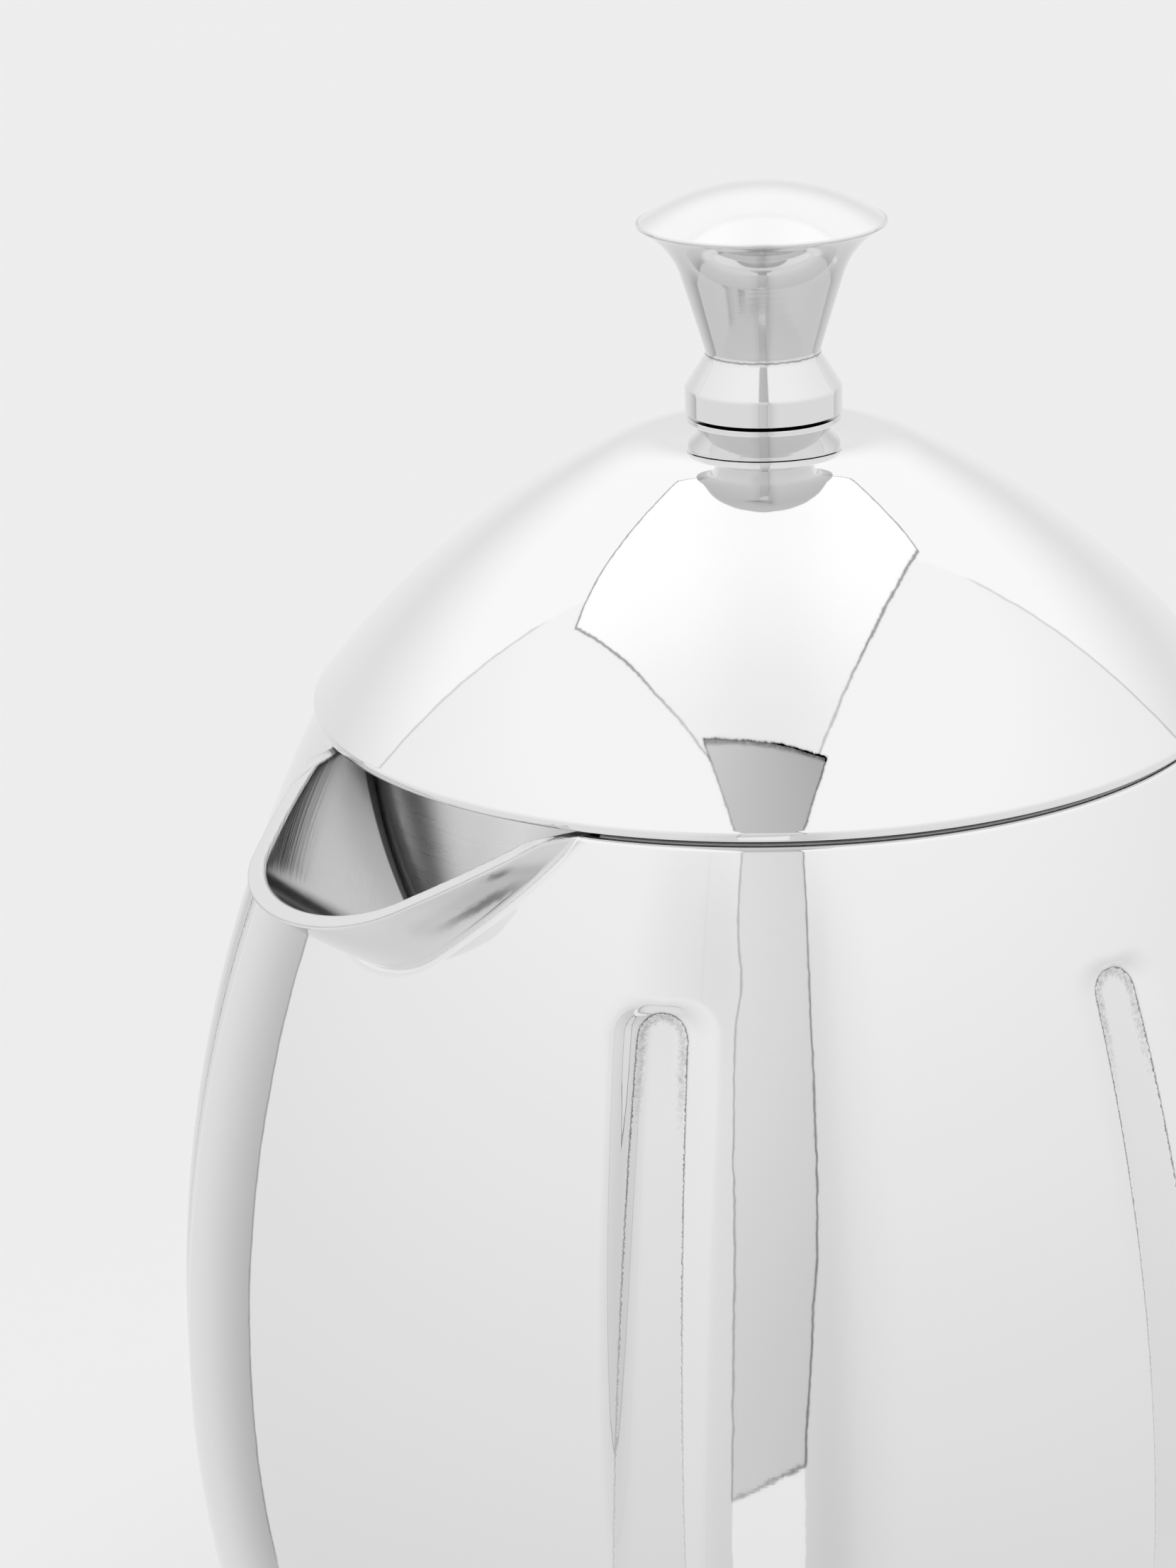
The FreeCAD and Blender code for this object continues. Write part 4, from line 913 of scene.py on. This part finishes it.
def make_floor():
    """A pale floor: a near disc that the metal reflects, and a wide ring beyond it. Its tone darkens outwards
    as painted shade, with a faint random mottle.
    """
    material, tree, shader = new_material("pale_floor")
    place = object_place(tree)
    x, y, _ = split(place)
    # Painted shade: the floor darkens from 0.12 m to 0.28 m out; the noise adds a faint random mottle.
    shade = length(x, y).ramp(0.12, 0.28) + (noise(tree, place, 3.0, 2.0) - 0.5) * 0.3
    connect(mixed(shade, grey(0.907), grey(0.865)), shader.inputs["Base Color"])
    shader.inputs["Roughness"].default_value = 0.9
    shader.inputs["Specular IOR Level"].default_value = 0.1
    turn = np.linspace(0, 2 * math.pi, FLOOR_COLUMNS, endpoint=False)
    index = np.arange(2 * FLOOR_COLUMNS).reshape(2, FLOOR_COLUMNS)
    index = np.concatenate([index, index[:, :1]], axis=1)
    quads = np.stack([index[0, :-1], index[1, :-1], index[1, 1:], index[0, 1:]], axis=-1)
    for name, radii, seen in (("floor_near", (0.0, FLOOR_NEAR), True),
                              ("floor_far", (FLOOR_NEAR, FLOOR_FAR), False)):
        rings = np.array(radii)[:, None] + 0 * turn
        points = np.stack([rings * np.cos(turn), rings * np.sin(turn), 0 * rings - FLOOR_DROP], axis=-1)
        mesh = bpy.data.meshes.new(name)
        mesh.from_pydata(points.reshape(-1, 3).tolist(), [], quads.tolist())
        mesh.materials.append(material)
        floor = bpy.data.objects.new(name, mesh)
        bpy.context.scene.collection.objects.link(floor)
        floor.visible_glossy = seen


def tent_walls(turn, rise):
    """Front walls that pale upwards and are dimmer beside the slot, and between the two corners a
    back wall with a dim low band."""
    front = (rise * 0.0030 + 0.875).math("MAXIMUM", 0.74).math("MINIMUM", 1.02)
    beside = (turn - 1.0).math("ABSOLUTE").ramp(7.0, 24.0, 0.085, 0.0) + turn.between(6.0, 13.0, 3.0) * 0.05
    left_patch = turn.between(-27.0, -8.0, 7.0) * rise.between(19.0, 35.0, 7.0)
    front = front - beside * rise.ramp(24.0, 40.0, 1.0, 0.0) - left_patch * 0.085
    away = turn.math("ABSOLUTE")
    high_back = rise.ramp(8.0, 36.0, 0.81, 1.06)
    low_band = away.ramp(100.0, 146.0, 0.44, 0.825) + away.ramp(140.0, 175.0, 0.0, 0.06) + rise * 0.0025
    back = high_back.toward(low_band, rise.ramp(-4.0, 16.0, 1.0, 0.0))
    edge = 0.4
    past_left = turn.ramp(LEFT_CORNER - edge, LEFT_CORNER + edge, 1.0, 0.0)
    past_right = turn.ramp(RIGHT_CORNER - edge, RIGHT_CORNER + edge)
    return front.toward(back, past_left + past_right)


def roof_panel(light, u, v, rise, wander):
    """A bright kite overhead, in the level plane of u and v: two slanted sides, a round end and a
    thin dark seam all round."""
    from_left = u - (v * -0.71 - 0.504)
    from_right = v * 0.452 + 0.363 - u
    from_end = length(u, v) * -1.0 + 0.72
    inside = from_left.math("MINIMUM", from_right).math("MINIMUM", from_end) + wander * 0.012
    overhead = rise.ramp(38.0, 42.0)
    glow = v.ramp(-0.38, 0.22, 0.93, 1.08) + u.math("ABSOLUTE").ramp(0.04, 0.30, 0.0, 0.05)
    light = light.toward(glow, inside.ramp(-0.004, 0.004) * overhead)
    return light - inside.between(-0.0045, 0.0045, 0.002) * overhead * v.ramp(-0.3, -0.02, 0.4, 0.75)


def camera_slot(light, u, v, turn, rise, front, wander):
    """The slot that the camera looks through: a leaning strip in the front wall that narrows and
    opens again as a wedge overhead, grey inside, with a dark edge and a paler sheet below it."""
    sideways = turn - rise.ramp(-20.0, 8.0, -1.4, 0.85) + wander * 0.35
    kink = rise.between(22.0, 26.0, 3.0) * turn.ramp(-3.0, 0.0, 1.0, 0.0)
    strip = rise.ramp(-20.0, 12.0, 6.2, 7.8) - sideways.math("ABSOLUTE") - kink * 1.1
    wedge = (v * -0.155).math("MAXIMUM", v * 0.31 + 0.338)
    wedge = (u.math("ABSOLUTE") * -1.0 + wedge + wander * 0.012) * PLANE_DEGREES
    low_end = rise + turn * -0.24 + 17.8 + wander * 0.8
    top_end = v * -1.0 - u * 0.14 - 0.385 + wander * 0.02
    depth = wedge.toward(strip, rise.ramp(46.0, 50.0, 1.0, 0.0))
    depth = depth.math("MINIMUM", low_end).math("MINIMUM", top_end * PLANE_DEGREES)
    inside = depth.ramp(-0.08, 0.08) * front
    tone = rise.ramp(-18.0, 30.0, 0.66, 0.79) - rise.ramp(33.0, 48.0, 0.0, 0.23) - sideways * 0.004
    light = light.toward(tone, inside)
    light = light - depth.between(-0.2, 0.2, 0.1) * front * sideways.ramp(-2.0, 6.0, 0.34, 0.52)
    light = light - top_end.between(-0.005, 0.016, 0.006) * inside * wander.ramp(-0.2, 0.1, 0.1, 0.4)
    below = strip.ramp(-0.1, 0.1) * rise.between(-26.0, -10.0, 0.5) * low_end.ramp(-0.15, 0.15, 1.0, 0.0)
    return light + below * 0.18


def sheet_edges(light, turn, rise, wander):
    """The dark, uneven edges of the sheet under the part, and the dimmer stretch round them."""
    dip = rise + wander * 1.2
    edges = dip.between(-30.0, -28.4, 0.5) * turn.between(-24.0, -2.0, 9.0)
    edges = edges + dip.between(-32.9, -31.9, 0.4) * turn.between(4.0, 10.0, 4.0)
    dim = rise.between(-33.0, -28.0, 1.5) * turn.between(-32.0, 12.0, 6.0)
    return light - edges * 0.38 - dim * 0.09


def wall_seams(light, turn, rise):
    """The thin dark seams at the two corners, and a faint one left of the slot."""
    half, edge = 0.3, 0.15
    left = turn.between(LEFT_CORNER - half, LEFT_CORNER + half, edge)
    right = turn.between(RIGHT_CORNER - half, RIGHT_CORNER + half, edge)
    light = light - (left + right) * rise.between(-33.0, 47.0, 2.0) * 0.28
    return light - turn.between(-15.4, -14.8, 0.2) * rise.between(-35.0, 40.0, 3.0) * 0.03


def make_tent():
    """White studio tent as the world, drawn by the turn and rise of each direction. The camera itself
    sees a plain backdrop, and low directions go over to an even light."""
    world = bpy.data.worlds.new("studio_tent")
    bpy.context.scene.world = world
    world.use_nodes = True
    tree = world.node_tree
    tree.nodes.clear()
    way = add_node(tree, "ShaderNodeTexCoord", "Generated", {})
    x, y, z = split(add_node(tree, "ShaderNodeVectorRotate", "Vector", {"Vector": way, "Angle": VIEW_TURN},
                             rotation_type="Z_AXIS"))
    turn = x.math("ARCTAN2", y * -1.0) * math.degrees(1.0)
    rise = z.math("ARCSINE") * math.degrees(1.0)
    high = z.math("MAXIMUM", 0.02)
    u, v = x / high, y / high
    front = y.ramp(-0.02, 0.02, 1.0, 0.0)
    wander = noise(tree, way, 90.0, 5.0, 0.75) - 0.5

    light = tent_walls(turn, rise)
    light = roof_panel(light, u, v, rise, wander)
    light = camera_slot(light, u, v, turn, rise, front, wander)
    light = sheet_edges(light, turn, rise, wander)
    light = wall_seams(light, turn, rise)
    light = light.toward(LOW_LIGHT, rise.ramp(-46.0, -31.0, 1.0, 0.0))
    light = light.toward(BACKDROP, add_node(tree, "ShaderNodeLightPath", "Is Camera Ray", {}))
    colour = add_node(tree, "ShaderNodeCombineXYZ", "Vector", {"X": light, "Y": light, "Z": light})
    glow = add_node(tree, "ShaderNodeBackground", "Background", {"Color": colour, "Strength": 1.0})
    connect(glow, tree.nodes.new("ShaderNodeOutputWorld").inputs["Surface"])


def make_camera():
    """The photograph's camera: place, aim and lens worked out from the lid's and knob's rings."""
    place = np.array([0.0, -CAMERA_BACK, CAMERA_OVER_LID + LID_EDGE])
    level = math.cos(CAMERA_PITCH)
    ahead = np.array([math.sin(CAMERA_YAW) * level, math.cos(CAMERA_YAW) * level, -math.sin(CAMERA_PITCH)])
    right = np.cross(ahead, [0, 0, 1])
    right /= np.linalg.norm(right)
    up = np.cross(right, ahead)
    lean, straight = math.sin(CAMERA_ROLL), math.cos(CAMERA_ROLL)
    right, up = straight * right + lean * up, straight * up - lean * right
    across, deep = math.cos(VIEW_TURN), math.sin(VIEW_TURN)
    to_part = np.array([[across, deep, 0], [-deep, across, 0], [0, 0, 1]])
    columns = [to_part @ axis for axis in (right, up, -ahead)] + [to_part @ place * MM]
    data = bpy.data.cameras.new("studio_camera")
    data.sensor_fit = "VERTICAL"
    data.sensor_height = SENSOR_HIGH
    data.lens = SENSOR_HIGH * FOCAL_PIXELS / PICTURE_HIGH
    data.shift_x = SHIFT_PIXELS[0] / PICTURE_HIGH
    data.shift_y = SHIFT_PIXELS[1] / PICTURE_HIGH
    data.clip_start = 0.01
    camera = bpy.data.objects.new("studio_camera", data)
    bpy.context.scene.collection.objects.link(camera)
    camera.matrix_world = Matrix([[*(column[i] for column in columns)] for i in range(3)] + [[0, 0, 0, 1]])
    bpy.context.scene.camera = camera


make_floor()
make_tent()
make_camera()
bpy.context.scene.view_settings.view_transform = "Standard"
